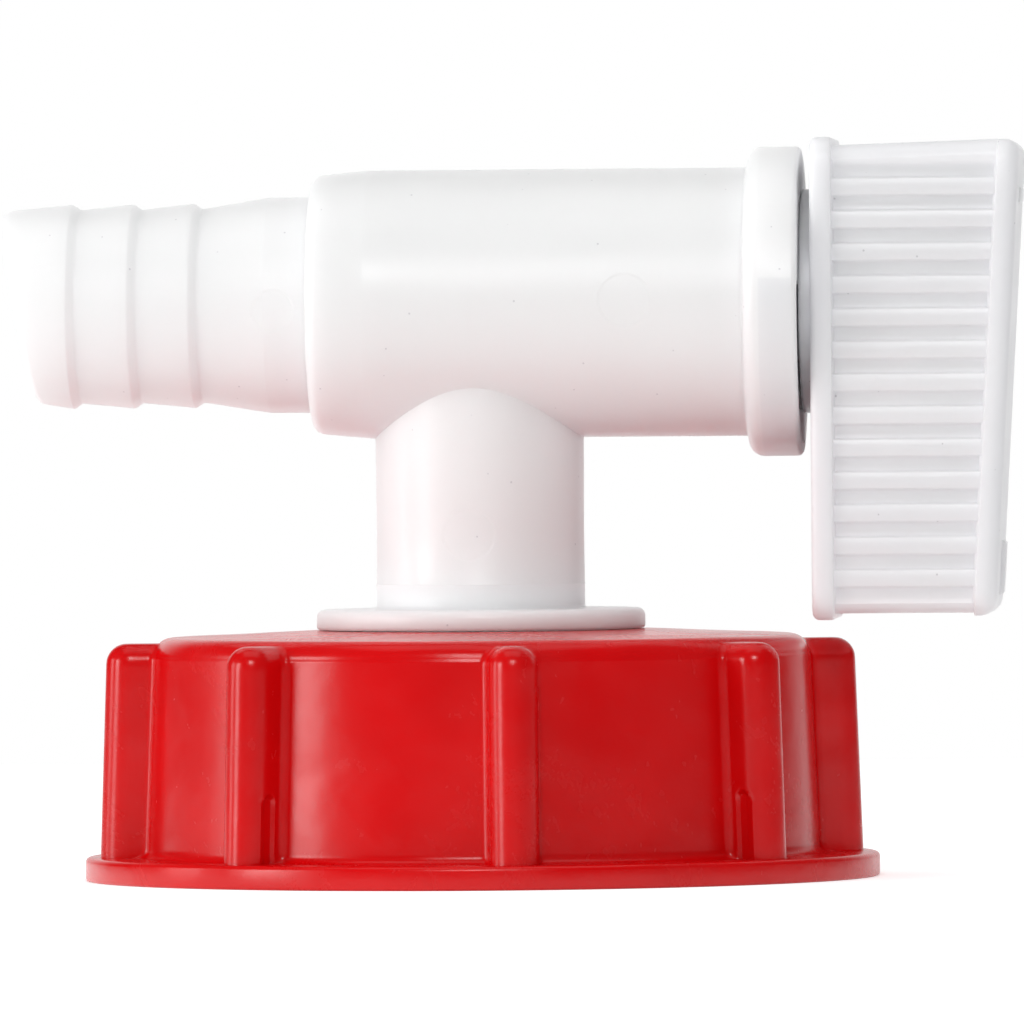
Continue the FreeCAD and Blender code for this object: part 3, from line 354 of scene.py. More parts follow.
# Barrel, collar and hose tail as one ring of revolution. Near the open end the rows lean: along
# shifts by height times tan(slant), fading out at the first barb.
def makeBarrel():
    crests = [tap["barbFirst"] + tap["barbPitch"] * k for k in reversed(range(tap["barbs"]))]
    end, root, crest, flow = tap["tailReach"], tap["barbRoot"], tap["barbCrest"], tap["flowBore"]
    back, radius, bore = tap["back"], tap["radius"], tap["bore"]
    collarStart, collarEnd, collarRadius = tap["collarStart"], tap["collarEnd"], tap["collarRadius"]
    snapStart, snapEnd = tap["snapPlace"] - tap["snapHalf"], tap["snapPlace"] + tap["snapHalf"]
    floor = -back + tap["wall"]
    mouth = (-end, (root + flow) / 2, 0)
    corners = [mouth, (-end, root - 0.05, tap["tailRound"])]
    for place in crests:
        corners += [(-place, crest, tap["barbRound"]),
                    (-place + tap["barbStep"], root, tap["barbFillet"])]
    corners += [(-back - tap["landLength"], landRadius, tap["landRound"]),
                (-back, landRadius, tap["landFillet"]),
                (-back, tap["endRadius"], tap["endRound"]),
                (-back + tap["lead"], radius, tap["leadRound"]),
                (collarStart, radius, tap["collarFillet"]),
                (collarStart, collarRadius, tap["collarRound"]),
                (collarEnd, collarRadius, tap["collarEndRound"]),
                (collarEnd, bore, tap["collarBoreRound"]),
                (snapEnd, bore, 0), (snapEnd, tap["snapRadius"], 0),
                (snapStart, tap["snapRadius"], 0), (snapStart, bore, 0),
                (floor, bore, tap["shoulderRound"]), (floor, flow, tap["throatRound"]),
                (-crests[0], flow, 0), (-end, flow, tap["boreRound"]), mouth]
    line = roundedLine(corners)[:-1]
    angle = np.linspace(0, 2 * np.pi, tap["barrelSegments"], endpoint=False)
    along, out = line[:, 0:1], line[:, 1:2]
    across, up = out * np.cos(angle), out * np.sin(angle)
    slant = math.tan(math.radians(tap["tailSlant"]))
    lean = slant * np.clip((along + crests[0]) / (crests[0] - end), 0, 1)
    grid = np.stack([along - lean * up, across, up + barrelZ], -1)
    return meshFromGrid("tap_shell", grid, ring=True)


# Inlet stub with seat flange and a spigot whose radius falls along a helix of V grooves. Its
# top rows follow the barrel: height is the axis less the root of (middle of the wall squared
# less across squared).
def makeStub():
    low, high, r = tap["seatLow"], tap["seatHigh"], tap["stubRadius"]
    foot, spigot, pitch = tap["spigotFoot"], tap["spigotRadius"], tap["spigotPitch"]
    seam, seamHalf, top = tap["seamHeight"], tap["seamHalf"], barrelZ - tap["radius"]
    corners = [(foot, tap["spigotInner"], 0), (foot, spigot, tap["spigotRound"]),
               (low, spigot, 0.1), (low, tap["seatRadius"], tap["seatLowRound"]),
               (high, tap["seatRadius"], tap["seatRound"]), (high, r, tap["stubFillet"]),
               (seam - seamHalf, r, 0), (seam, r + tap["seamHigh"], 0),
               (seam + seamHalf, r - 0.02, 0),
               ((low + top) / 2 + 1, tap["stubWaist"], tap["waistRound"]), (top + 1, r, 0)]
    line = roundedLine(corners)
    angle = np.linspace(0, 2 * np.pi, tap["stubSegments"], endpoint=False)
    threadZ = np.arange(foot + 0.4, low - 1.5, pitch / 8)[:, None]
    split = int(np.searchsorted(line[:, 0], threadZ[0, 0]))
    along = np.vstack([line[:split, 0:1], threadZ, line[split:, 0:1]]) + 0 * angle
    lap = np.mod(threadZ / pitch - angle / (2 * np.pi), 1)
    groove = tap["spigotThread"] * np.clip(2.4 * np.abs(lap - 0.5) - 0.1, 0, 1)
    under, over = line[:split, 1:2] + 0 * angle, line[split:, 1:2] + 0 * angle
    radius = np.vstack([under, spigot - groove, over])
    middle = (tap["radius"] + tap["bore"]) / 2
    inner = np.linspace(1, 0.02, 12)[:, None] * r
    saddle = barrelZ - np.sqrt(middle ** 2 - (inner * np.sin(angle)) ** 2)
    along = np.vstack([along[:-1], saddle])
    radius = np.vstack([radius[:-1], np.broadcast_to(inner, saddle.shape)])
    grid = np.stack([radius * np.cos(angle), radius * np.sin(angle), along], -1)
    return meshFromGrid("stub", grid)


# Sector of a disc that cuts the stop slot: rows go from its middle line to its arc.
def slotTool():
    angle = np.radians(np.linspace(tap["slotStart"], tap["slotEnd"], 60))
    out = tap["slotRadius"]
    edge = np.vstack([[[0, 0]], np.stack([out * np.cos(angle), out * np.sin(angle)], -1)])
    start = tap["collarEnd"] - tap["slotDeep"]
    ends = []
    for place in (start, tap["collarEnd"] + 2):
        ends.append(np.column_stack([np.full(len(edge), place), edge[:, 0], edge[:, 1] + barrelZ]))
    return meshFromGrid("slot_tool", np.stack(ends))


# Barrel and stub joined, then the port up through the stub and the stop slot are cut.
def makeTap():
    body = makeBarrel()
    combine(body, makeStub(), "UNION")
    bore, port = tap["spigotBore"], tap["portRadius"]
    profile = [(tap["spigotFoot"] - 2, bore), (tap["seatLow"], bore),
               (tap["seatHigh"], port + tap["portFlare"]),
               (barrelZ - tap["radius"], port), (barrelZ - 1, port)]
    combine(body, turned("port_tool", profile, "z", tap["portSegments"]), "DIFFERENCE")
    combine(body, slotTool(), "DIFFERENCE")
    return body


# Bar lever

lever = dict(
    half=11.6, up=15.7, down=31.3, corner=2.0,        # outline across the barrel, from its axis
    backX=33.85, frontX=54.9, lean=2.7,               # open back, front face at the top, its lean
    flare=0.5, blockDrop=0.2, frontDrop=-0.3,         # fall of the hollow's roof, top and front rim
    rim=2.2, backLip=0.65, frontLip=0.3, wall=1.8, backRound=0.7, frontRound=1.5, rimEdge=0.3,
    flutes=14, flutePitch=3.26, fluteWide=1.6, fluteDeep=0.42, fluteFirst=2.75, fluteSoft=0.2,
    fluteEnds=((0.02, 0), (0.1, 0.3), (0.22, 1)),     # distance past a rim and how far fluted there
    hubRadius=11.25, hubInner=5.0, hubRound=0.3, hubFillet=0.2, hubFloor=1.2, hubSegments=120,
    hubStart=32.68, socketRadius=9.6, socketHalf=6.08, socketEnd=49.23,
    web=1.6, webBack=35.25, webPlace=21.5, webTop=-7.0, floorRound=0.6,
    bar=(9.7, 11.2, 3.4, 0.25),                       # raised marks on the front: low, high,
    pointer=(-29.6, -24.2, 2.1, 0.45),                # half width and how proud
    sharp=34,
)


# The front face leans in towards the bottom.
def frontPlace(z):
    return lever["frontX"] - lever["lean"] * (lever["up"] - z) / (lever["up"] + lever["down"])


# 1 in the middle of a flute and 0 on the ribs between, with soft edges.
def fluteShape(z):
    first = lever["up"] - lever["fluteFirst"]
    count = np.clip(np.round((first - z) / lever["flutePitch"]), 0, lever["flutes"] - 1)
    away = np.abs(first - count * lever["flutePitch"] - z)
    edge = lever["fluteWide"] / 2
    return 1 - smoothStep(away, edge - lever["fluteSoft"], edge + lever["fluteSoft"] / 2)


# Heights down the lever's side: seven close together over each edge of each flute.
def sideHeights(low, high):
    centres = lever["up"] - lever["fluteFirst"] - lever["flutePitch"] * np.arange(lever["flutes"])
    edge, soft = lever["fluteWide"] / 2, lever["fluteSoft"]
    offsets = np.linspace(edge - soft, edge + soft / 2, 7)
    cuts = (centres[:, None] + np.concatenate([-offsets, offsets, [0.0]])).ravel()
    apart = 0.05
    cuts = cuts[(cuts > low + apart) & (cuts < high - apart)]
    return np.concatenate([[low], np.sort(cuts), [high]])


# Rounded rectangle across the barrel as (y, z from the axis): right side, top, left side and
# bottom, each corner a quarter circle. grow moves it outwards and drop lowers its top.
def leverOutline(grow=0.0, drop=0.0, fine=True):
    half, down = lever["half"], lever["down"]
    corner = max(lever["corner"], 0.2 - grow)
    up = lever["up"] - drop
    low, high = -down + corner, up - corner
    most = lever["up"] - lever["flare"] - corner - 0.1
    zSide = sideHeights(low, most) if fine else np.linspace(low, most, 6)
    rest = [most - 0.01 + (high - most) * share for share in (0.0, 0.34, 0.67, 1.0)]
    zSide = np.append(zSide[:-1], rest)
    ySide = np.linspace(-half + corner, half - corner, 5)
    turn = np.radians(np.linspace(0, 90, 7))[1:-1]
    out = corner + grow
    runs = [
        (0 * zSide + half + grow, zSide),
        (half - corner + out * np.cos(turn), high + out * np.sin(turn)),
        (ySide[::-1], 0 * ySide + up + grow),
        (-half + corner - out * np.sin(turn), high + out * np.cos(turn)),
        (0 * zSide - half - grow, zSide[::-1]),
        (-half + corner - out * np.cos(turn), low - out * np.sin(turn)),
        (ySide, 0 * ySide - down - grow),
        (half - corner + out * np.sin(turn), low - out * np.cos(turn)),
    ]
    return np.concatenate([y for y, z in runs]), np.concatenate([z for y, z in runs])


# The lever's skin: its outline carried along the barrel's axis. Each row has its place, counted
# from the back or inwards from the leaning front, an offset outwards, and how far it is fluted.
def leverSkin():
    rim, edge, back, front = lever["rim"], lever["rimEdge"], lever["backLip"], lever["frontLip"]
    backRound, frontRound = lever["backRound"], lever["frontRound"]
    quarter = np.radians(np.linspace(0, 90, 7))
    ends = lever["fluteEnds"]
    rows = [("back", back - backRound * (1 - math.sin(a)), 0, backRound * (1 - math.cos(a)))
            for a in quarter]
    rows += [("back", back, 0, rim - edge), ("back", back - 0.09, 0, rim - 0.09),
             ("back", back - edge, 0, rim)]
    rows += [("block", 0, fluted, rim + past) for past, fluted in ends]
    rows += [("front", 0, fluted, rim + past) for past, fluted in reversed(ends)]
    rows += [("front", front - 0.1, 0, rim), ("front", front, 0, rim - 0.1)]
    rows += [("front", front - frontRound * (1 - math.cos(a)), 0, frontRound * (1 - math.sin(a)))
             for a in quarter]
    grid = []
    for part, offset, fluted, away in rows:
        drop = lever["blockDrop"] if part == "block" else 0.0
        if part == "front" and away > rim:
            drop = lever["frontDrop"]
        y, z = leverOutline(offset, drop)
        limit = lever["half"] + offset - fluted * lever["fluteDeep"] * fluteShape(z)
        y = np.clip(y, -limit, limit)
        x = frontPlace(z) - away if part == "front" else 0 * y + lever["backX"] + away
        grid.append(np.stack([x, y, z + barrelZ], -1))
    # The flat front closes in three rings towards its middle
    y, z = leverOutline(front - frontRound)
    centre = (lever["up"] - lever["down"]) / 2
    for share in (0.7, 0.35, 0.02):
        level = (z - centre) * share + centre
        grid.append(np.stack([frontPlace(level), y * share, level + barrelZ], -1))
    return meshFromGrid("lever_shell", np.stack(grid), sharp=lever["sharp"])


# The skin hollowed from the back, with hub, webs, square socket and the two raised marks.
def makeLever():
    sharp, rim, start = lever["sharp"], lever["rim"], lever["hubStart"]
    body = leverSkin()
    combine(body, hollowTool(), "DIFFERENCE", sharp)
    hubEnd = lever["backX"] + rim
    hub = [(start, lever["hubInner"], 0), (start, lever["hubRadius"], lever["hubRound"]),
           (hubEnd, lever["hubRadius"], lever["hubFillet"]),
           (hubEnd, lever["socketRadius"], lever["hubFillet"]),
           (frontPlace(0) - lever["hubFloor"], lever["socketRadius"], 0)]
    combine(body, turned("hub_tool", roundedLine(hub), "x", lever["hubSegments"]), "UNION", sharp)
    thin = lever["web"] / 2
    inner = lever["half"] - lever["wall"] / 2
    deep = (lever["webBack"], frontPlace(-lever["down"]) - rim / 2)
    tall = (-lever["down"] + lever["wall"] / 2, lever["webTop"])
    combine(body, block("web_tool", deep, (-thin, thin), tall), "UNION", sharp)
    for level in (-lever["webPlace"], 0.0):
        flat = (level - thin, level + thin)
        combine(body, block("web_tool", deep, (-inner, inner), flat), "UNION", sharp)
    socket = (-lever["socketHalf"], lever["socketHalf"])
    ends = (start - 1, lever["socketEnd"])
    combine(body, block("socket_tool", ends, socket, socket), "DIFFERENCE", sharp)
    for low, high, half, proud in (lever["bar"], lever["pointer"]):
        combine(body, raisedMark(low, high, half, proud), "UNION", sharp)
    return body


# A low pad on the leaning front: a rectangle whose upper edge is drawn in by its proud height.
def raisedMark(low, high, half, proud):
    ys = np.array([-half, half, half, -half])
    zs = np.array([low, low, high, high])
    rings = []
    for out, shrink in ((-0.5, 0.0), (proud * 0.5, 0.0), (proud, proud * 0.5)):
        y = ys - np.sign(ys) * shrink
        z = zs + np.array([shrink, shrink, -shrink, -shrink])
        rings.append(np.stack([frontPlace(z) + out, y, z + barrelZ], -1))
    return meshFromGrid("mark_tool", np.stack(rings))


# The lever's outline shrunk by its wall, from behind the back to the leaning floor.
def hollowTool():
    wall, rim, soft = lever["wall"], lever["rim"], lever["floorRound"]
    y, z = leverOutline(-wall, lever["flare"], False)
    grid = [np.stack([0 * y + lever["backX"] - 1, y, z + barrelZ], -1)]
    y, z = leverOutline(-wall, 0.0, False)
    grid.append(np.stack([frontPlace(z) - rim - soft, y, z + barrelZ], -1))
    y, z = leverOutline(-wall - soft, 0.0, False)
    grid.append(np.stack([frontPlace(z) - rim, y, z + barrelZ], -1))
    return meshFromGrid("hollow_tool", np.stack(grid))


# Straight bar between two rectangles, heights counted from the barrel's axis.
def block(name, xs, ys, zs):
    ring = np.array([(ys[0], zs[0]), (ys[1], zs[0]), (ys[1], zs[1]), (ys[0], zs[1])])
    ends = [np.column_stack([np.full(4, x), ring[:, 0], ring[:, 1] + barrelZ]) for x in xs]
    return meshFromGrid(name, np.stack(ends))


# Materials

# A material whose shader holds every value that is the same all over.
def newMaterial(name, colour, look):
    material = bpy.data.materials.new(name)
    material.use_nodes = True
    tree = material.node_tree
    shader = tree.nodes["Principled BSDF"]
    shader.inputs["Base Color"].default_value = (*colour, 1)
    shader.inputs["Roughness"].default_value = look["roughness"]
    shader.inputs["Subsurface Weight"].default_value = look.get("sink", 0.0)
    shader.inputs["Subsurface Radius"].default_value = look.get("sinkColour", (1, 1, 1))
    shader.inputs["Subsurface Scale"].default_value = look.get("sinkDepth", 0.001)
    shader.inputs["Specular IOR Level"].default_value = look["specular"]
    return material, tree, shader


# A node with its settings, its inputs filled from values or linked from sockets.
def add(tree, kind, values=None, **settings):
    node = tree.nodes.new(kind)
    for key, value in settings.items():
        setattr(node, key, value)
    for key, value in (values or {}).items():
        if isinstance(value, bpy.types.NodeSocket):
            tree.links.new(value, node.inputs[key])
        else:
            node.inputs[key].default_value = value
    return node


# Map Range: low to high becomes newLow to newHigh, held at the ends.
def spread(tree, value, low, high, newLow, newHigh):
    return add(tree, "ShaderNodeMapRange", {"Value": value, "From Min": low, "From Max": high,
                                            "To Min": newLow, "To Max": newHigh}).outputs["Result"]


# First colour at factor 0, second at 1. Each is a value or a socket.
def mixColours(tree, factor, first, second):
    node = add(tree, "ShaderNodeMix", {"Factor": factor}, data_type="RGBA")
    for socket, colour in ((node.inputs["A"], first), (node.inputs["B"], second)):
        if isinstance(colour, bpy.types.NodeSocket):
            tree.links.new(colour, socket)
        else:
            socket.default_value = (*colour, 1)
    return node.outputs["Result"]


def maths(tree, how, a, b):
    return add(tree, "ShaderNodeMath", {0: a, 1: b}, operation=how).outputs[0]


# Noise on Object coordinates, drawn out along an axis whose stretch is below 1.
def noise(tree, place, scale, detail, stretch=(1, 1, 1)):
    moved = add(tree, "ShaderNodeMapping", {"Vector": place, "Scale": stretch}).outputs[0]
    values = {"Vector": moved, "Scale": scale, "Detail": detail}
    return add(tree, "ShaderNodeTexNoise", values).outputs["Fac"]


# Bump in which a height of 1 stands for relief metres.
def addBump(tree, shader, height, relief):
    values = {"Height": height, "Distance": relief, "Strength": 1.0}
    tree.links.new(add(tree, "ShaderNodeBump", values).outputs[0], shader.inputs["Normal"])


# Round ejector mark on the camera side: 1 inside the circle, soft at its edge.
def pinMark(tree, place, x, z, radius):
    soft, nearSide = 0.12, -2 * mm
    axes = add(tree, "ShaderNodeSeparateXYZ", {0: place}).outputs
    flat = add(tree, "ShaderNodeCombineXYZ", {"X": axes["X"], "Z": axes["Z"]}).outputs[0]
    middle = (x * mm, 0, z * mm)
    away = add(tree, "ShaderNodeVectorMath", {0: flat, 1: middle}, operation="DISTANCE")
    disc = spread(tree, away.outputs["Value"], (radius - soft) * mm, (radius + soft) * mm, 1, 0)
    near = maths(tree, "LESS_THAN", axes["Y"], nearSide)
    return maths(tree, "MULTIPLY", disc, near)


# Painted shade: 1 over the stop slot, where the collar's colour is darkened as if the slot
# showed through its wall; between two angles round the barrel, and along it from the slot's
# floor to just short of the collar's end.
def paintedSlotShade(tree, place):
    middle = (0, 0, barrelZ * mm)
    fadeStart, fadeEnd = 32.0 * mm, 32.3 * mm
    softAlong, softAround = 0.1 * mm, 0.15 * mm
    axis = add(tree, "ShaderNodeVectorMath", {0: place, 1: middle}, operation="SUBTRACT").outputs[0]
    along = add(tree, "ShaderNodeSeparateXYZ", {0: place}).outputs["X"]
    start = (tap["collarEnd"] - tap["slotDeep"]) * mm
    inside = spread(tree, along, start - softAlong, start + softAlong, 0, 1)
    inside = maths(tree, "MULTIPLY", inside, spread(tree, along, fadeStart, fadeEnd, 1, 0))
    for angle, turn in ((tap["slotStart"], 90), (tap["slotEnd"], -90)):
        facing = math.radians(angle + turn)
        normal = (0, math.cos(facing), math.sin(facing))
        side = add(tree, "ShaderNodeVectorMath", {0: axis, 1: normal}, operation="DOT_PRODUCT")
        side = spread(tree, side.outputs["Value"], -softAround, softAround, 0, 1)
        inside = maths(tree, "MULTIPLY", inside, side)
    return inside


# Tiny dark specks: the middles of the cells of a Voronoi pattern.
def specks(tree, place, scale, size):
    cells = add(tree, "ShaderNodeTexVoronoi", {"Vector": place, "Scale": scale}).outputs["Distance"]
    return spread(tree, cells, size, size * 1.6, 1, 0)


natural = dict(
    roughness=0.34, roughLow=0.28, roughHigh=0.42, specular=0.4,
    sink=1.0, sinkColour=(1.0, 0.98, 0.99), sinkDepth=0.003,        # depths and relief in metres
    # the last value is how strongly the painted shade over the stop slot darkens the colour
    cloudScale=90, speckScale=420, speckSize=0.035, speckShare=0.5, slotShare=0.15,
    streakScale=260, streakStretch=(0.25, 1, 1), streakHigh=0.35,
    grainScale=2600, grainHigh=0.12, relief=0.00005,
)
tapLook = dict(
    # dark is the colour of the specks and of the painted shade over the stop slot
    colour=(0.95, 0.955, 0.985), shade=(0.935, 0.94, 0.97), dark=(0.55, 0.55, 0.60), paintsSlotShade=True,
    pins=((-0.5, 34.6, 2.6), (15.4, 58.0, 2.6), (-20.0, 57.2, 2.1)),      # x, z, radius of marks
)
leverLook = dict(colour=(0.88, 0.88, 0.91), shade=(0.86, 0.86, 0.89), dark=(0.45, 0.44, 0.47))


# Milky polyethylene: light sinks in, the skin is satin with a fine grain and flow streaks.
# On the tap, a painted shade darkens the collar's colour over the stop slot.
def naturalPlastic(name, colour, shade, dark, pins=(), paintsSlotShade=False):
    material, tree, shader = newMaterial(name, colour, natural)
    place = add(tree, "ShaderNodeTexCoord").outputs["Object"]
    cloud = noise(tree, place, natural["cloudScale"], 2)
    tint = mixColours(tree, spread(tree, cloud, 0.35, 0.65, 0, 1), colour, shade)
    spots = specks(tree, place, natural["speckScale"], natural["speckSize"])
    tint = mixColours(tree, maths(tree, "MULTIPLY", spots, natural["speckShare"]), tint, dark)
    # painted shade: the colour goes towards dark over the stop slot behind the collar's wall
    if paintsSlotShade:
        slot = maths(tree, "MULTIPLY", paintedSlotShade(tree, place), natural["slotShare"])
        tint = mixColours(tree, slot, tint, dark)
    tree.links.new(tint, shader.inputs["Base Color"])
    streak = noise(tree, place, natural["streakScale"], 3, natural["streakStretch"])
    rough = spread(tree, streak, 0.3, 0.7, natural["roughLow"], natural["roughHigh"])
    tree.links.new(rough, shader.inputs["Roughness"])
    grain = noise(tree, place, natural["grainScale"], 2)
    height = maths(tree, "ADD", maths(tree, "MULTIPLY", grain, natural["grainHigh"]),
                   maths(tree, "MULTIPLY", streak, natural["streakHigh"]))
    for x, z, radius in pins:
        height = maths(tree, "SUBTRACT", height, pinMark(tree, place, x, z, radius))
    addBump(tree, shader, height, natural["relief"])
    return material


glossyRed = dict(
    red=(0.70, 0.0005, 0.002), deep=(0.61, 0.0004, 0.0015),
    roughness=0.3, roughLow=0.18, roughHigh=0.27, fineRough=0.05, markRough=0.05, specular=0.4,
    sink=0.1, sinkColour=(1.0, 0.1, 0.08), sinkDepth=0.0012,
    cloudScale=60, smearScale=75, smearTwist=0.8, smearHigh=0.08,
    unevenScale=130, unevenHigh=1.3, fineScale=2600, fineHigh=0.08,
    scratches=(((0.5, 0.6, 0.2), 800), ((-0.7, -0.5, 0.9), 700)), markDeep=0.02,    # turn and scale
    relief=0.00009,
)


# Fine scratches: noise drawn out along one turned direction, only its peaks kept.
def scratches(tree, place, turn, scale):
    turned = add(tree, "ShaderNodeMapping", {"Vector": place, "Rotation": turn}).outputs[0]
    return spread(tree, noise(tree, turned, scale, 2, (1, 1, 0.05)), 0.6, 0.8, 0, 1)


# Glossy red polyethylene with smears, crossed scratches and a slightly uneven skin.
def redPlastic():
    material, tree, shader = newMaterial("red cap plastic", glossyRed["red"], glossyRed)
    place = add(tree, "ShaderNodeTexCoord").outputs["Object"]
    cloud = spread(tree, noise(tree, place, glossyRed["cloudScale"], 2), 0.3, 0.7, 0, 1)
    tint = mixColours(tree, cloud, glossyRed["red"], glossyRed["deep"])
    tree.links.new(tint, shader.inputs["Base Color"])
    smear = add(tree, "ShaderNodeTexNoise", {"Vector": place, "Scale": glossyRed["smearScale"],
                                             "Detail": 3, "Distortion": glossyRed["smearTwist"]})
    smear = spread(tree, smear.outputs["Fac"], 0.35, 0.75, 0, 1)
    fine = noise(tree, place, glossyRed["fineScale"], 3)
    first, second = [scratches(tree, place, turn, size) for turn, size in glossyRed["scratches"]]
    marks = maths(tree, "ADD", first, second)
    rough = spread(tree, smear, 0, 1, glossyRed["roughLow"], glossyRed["roughHigh"])
    rough = maths(tree, "ADD", rough, maths(tree, "MULTIPLY", fine, glossyRed["fineRough"]))
    rough = maths(tree, "ADD", rough, maths(tree, "MULTIPLY", marks, glossyRed["markRough"]))
    tree.links.new(rough, shader.inputs["Roughness"])
    uneven = noise(tree, place, glossyRed["unevenScale"], 2)
    height = maths(tree, "ADD", maths(tree, "MULTIPLY", uneven, glossyRed["unevenHigh"]),
                   maths(tree, "MULTIPLY", smear, glossyRed["smearHigh"]))
    height = maths(tree, "ADD", height, maths(tree, "MULTIPLY", fine, glossyRed["fineHigh"]))
    height = maths(tree, "SUBTRACT", height, maths(tree, "MULTIPLY", marks, glossyRed["markDeep"]))
    addBump(tree, shader, height, glossyRed["relief"])
    return material


dullRubber = dict(roughness=0.6, roughLow=0.5, roughHigh=0.72, specular=0.3,
                  speckleScale=900, relief=0.00003)


# Moulded rubber: a fine speckle between two shades, which also makes it rougher and uneven.
def rubber(name, colour, other):
    material, tree, shader = newMaterial(name, colour, dullRubber)
    place = add(tree, "ShaderNodeTexCoord").outputs["Object"]
    speckle = noise(tree, place, dullRubber["speckleScale"], 4)
    tint = mixColours(tree, spread(tree, speckle, 0.4, 0.6, 0, 1), colour, other)
    tree.links.new(tint, shader.inputs["Base Color"])
    rough = spread(tree, speckle, 0.3, 0.7, dullRubber["roughLow"], dullRubber["roughHigh"])
    tree.links.new(rough, shader.inputs["Roughness"])
    addBump(tree, shader, speckle, dullRubber["relief"])
    return material


tapPlastic = naturalPlastic("tap plastic", **tapLook)
leverPlastic = naturalPlastic("lever plastic", **leverLook)
capPlastic = redPlastic()
sealRubber = rubber("seal rubber", (0.03, 0.03, 0.032), (0.045, 0.045, 0.048))
gasketRubber = rubber("gasket rubber", (0.55, 0.55, 0.53), (0.5, 0.5, 0.48))


# Give a new piece its material and its body, and hide the CAD nodes that it stands for.
def dress(piece, material, body, *nodes):
    piece.data.materials.clear()
    piece.data.materials.append(material)
    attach(piece, body)
    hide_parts(*nodes)


dress(makeCap(), capPlastic, "cap", "screw_cap")
print("cap made")
dress(makeTap(), tapPlastic, "tap", "tap_body")
print("tap made")
dress(makeLever(), leverPlastic, "valve", "handle")
print("lever made")
nodeFinish = {"plug": leverPlastic, "clamp_nut": tapPlastic, "neck_gasket": gasketRubber,
              "spigot_seal": sealRubber, "outlet_ring": sealRubber, "lever_ring": sealRubber}
for nodeName, finish in nodeFinish.items():
    node = frame["nodes"][nodeName]
    node.data.materials.clear()
    node.data.materials.append(finish)


# Floor, light and camera

studio = dict(
    cameraFrom=(97, -1500, 50), cameraTo=(3.2, 0, 36.8), lens=524.6, roll=-0.45,
    softBoxes=dict(                       # place, what it points at, size in mm, watts
        key=((-800, -450, 190), (0, 0, 40), (260, 350), 2.35),
        edge=((-930, 10, 150), (0, 0, 40), (230, 360), 0.9),
        fill=((20, -740, 430), (0, 0, 40), (240, 240), 1.85),
        top=((0, -60, 760), (0, 0, 30), (700, 500), 0.8),
    ),
    lightFrom=(-0.28, 0.78, 0.25), lightWidth=0.7,        # where the world is brightest
    frontLight=0.27, backLight=0.81,                      # its strength opposite and there
    frontGloss=0.01, backGloss=1.0, glossEdge=(0.72, 0.95),       # what reflections see of it
)

floorPaper = dict(reach=0.45, colour=(0.96, 0.96, 0.96), roughness=0.9, specular=0.1, glow=0.42)


# Plain pale floor, which keeps the object's shadow. It glows a little to the camera, and to
# reflections and what shines through, so that its edge doesn't show against the background.
def makeFloor():
    mesh = bpy.data.meshes.new("floor")
    reach = floorPaper["reach"]
    corners = [(-reach, -reach, 0), (reach, -reach, 0), (reach, reach, 0), (-reach, reach, 0)]
    mesh.from_pydata(corners, [], [(0, 1, 2, 3)])
    floor = bpy.data.objects.new("floor", mesh)
    bpy.context.scene.collection.objects.link(floor)
    material, tree, shader = newMaterial("floor paper", floorPaper["colour"], floorPaper)
    path = add(tree, "ShaderNodeLightPath")
    seen = maths(tree, "MAXIMUM", path.outputs["Is Camera Ray"], path.outputs["Is Glossy Ray"])
    seen = maths(tree, "MAXIMUM", seen, path.outputs["Is Transmission Ray"])
    glow = maths(tree, "MULTIPLY", seen, floorPaper["glow"])
    tree.links.new(glow, shader.inputs["Emission Strength"])
    shader.inputs["Emission Color"].default_value = (1, 1, 1, 1)
    mesh.materials.append(material)


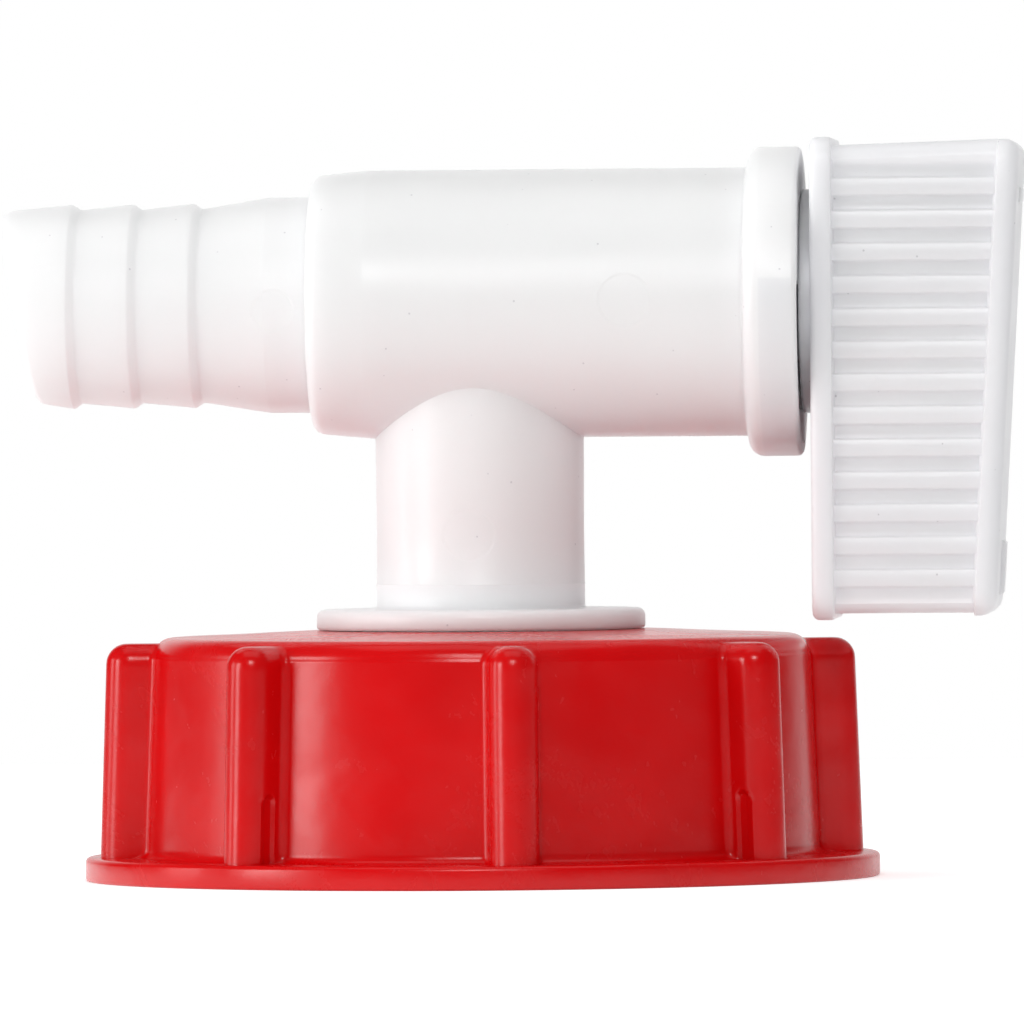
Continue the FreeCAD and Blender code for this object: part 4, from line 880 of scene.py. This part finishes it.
# Pale light, brightest from behind on the left and least from the front on the right. The
# background is plain white to the camera, and to reflections and what shines through from behind.
def makeWorld():
    world = bpy.data.worlds.new("studio")
    bpy.context.scene.world = world
    world.use_nodes = True
    tree = world.node_tree
    path = add(tree, "ShaderNodeLightPath")
    toward = add(tree, "ShaderNodeTexCoord").outputs["Generated"]
    width = studio["lightWidth"]
    slant = add(tree, "ShaderNodeVectorMath", {0: toward, 1: studio["lightFrom"]},
                operation="DOT_PRODUCT").outputs["Value"]
    lit = spread(tree, slant, -width, width, studio["frontLight"], studio["backLight"])
    behind = add(tree, "ShaderNodeSeparateXYZ", {0: toward}).outputs["Y"]
    mirrored = spread(tree, behind, *studio["glossEdge"], studio["frontGloss"], studio["backGloss"])
    glossy, through = path.outputs["Is Glossy Ray"], path.outputs["Is Transmission Ray"]
    shines = maths(tree, "MAXIMUM", glossy, through)
    strength = add(tree, "ShaderNodeMix", {"Factor": shines, "A": lit, "B": mirrored})
    strength = strength.outputs["Result"]
    seen = path.outputs["Is Camera Ray"]
    strength = add(tree, "ShaderNodeMix", {"Factor": seen, "A": strength, "B": 1.0})
    shader = tree.nodes["Background"]
    shader.inputs["Color"].default_value = (1, 1, 1, 1)
    tree.links.new(strength.outputs["Result"], shader.inputs["Strength"])


def softBox(name, place, target, size, power):
    light = bpy.data.lights.new(name, "AREA")
    light.shape, light.energy = "RECTANGLE", power
    light.size, light.size_y = size[0] * mm, size[1] * mm
    lamp = bpy.data.objects.new(name, light)
    lamp.location = Vector(place) * mm
    lamp.rotation_euler = (Vector(target) * mm - lamp.location).to_track_quat("-Z", "Y").to_euler()
    bpy.context.scene.collection.objects.link(lamp)


def makeCamera():
    data = bpy.data.cameras.new("camera")
    data.lens, data.clip_start, data.clip_end = studio["lens"], 0.05, 50
    camera = bpy.data.objects.new("camera", data)
    camera.location = Vector(studio["cameraFrom"]) * mm
    look = (Vector(studio["cameraTo"]) * mm - camera.location).to_track_quat("-Z", "Y")
    roll = Matrix.Rotation(math.radians(studio["roll"]), 3, "Z")
    camera.rotation_euler = (look.to_matrix() @ roll).to_euler()
    bpy.context.scene.collection.objects.link(camera)
    bpy.context.scene.camera = camera


makeFloor()
makeWorld()
for boxName, (boxPlace, boxTarget, boxSize, watts) in studio["softBoxes"].items():
    softBox(boxName, boxPlace, boxTarget, boxSize, watts)
makeCamera()
bpy.context.scene.view_settings.view_transform = "Standard"
print("studio made")
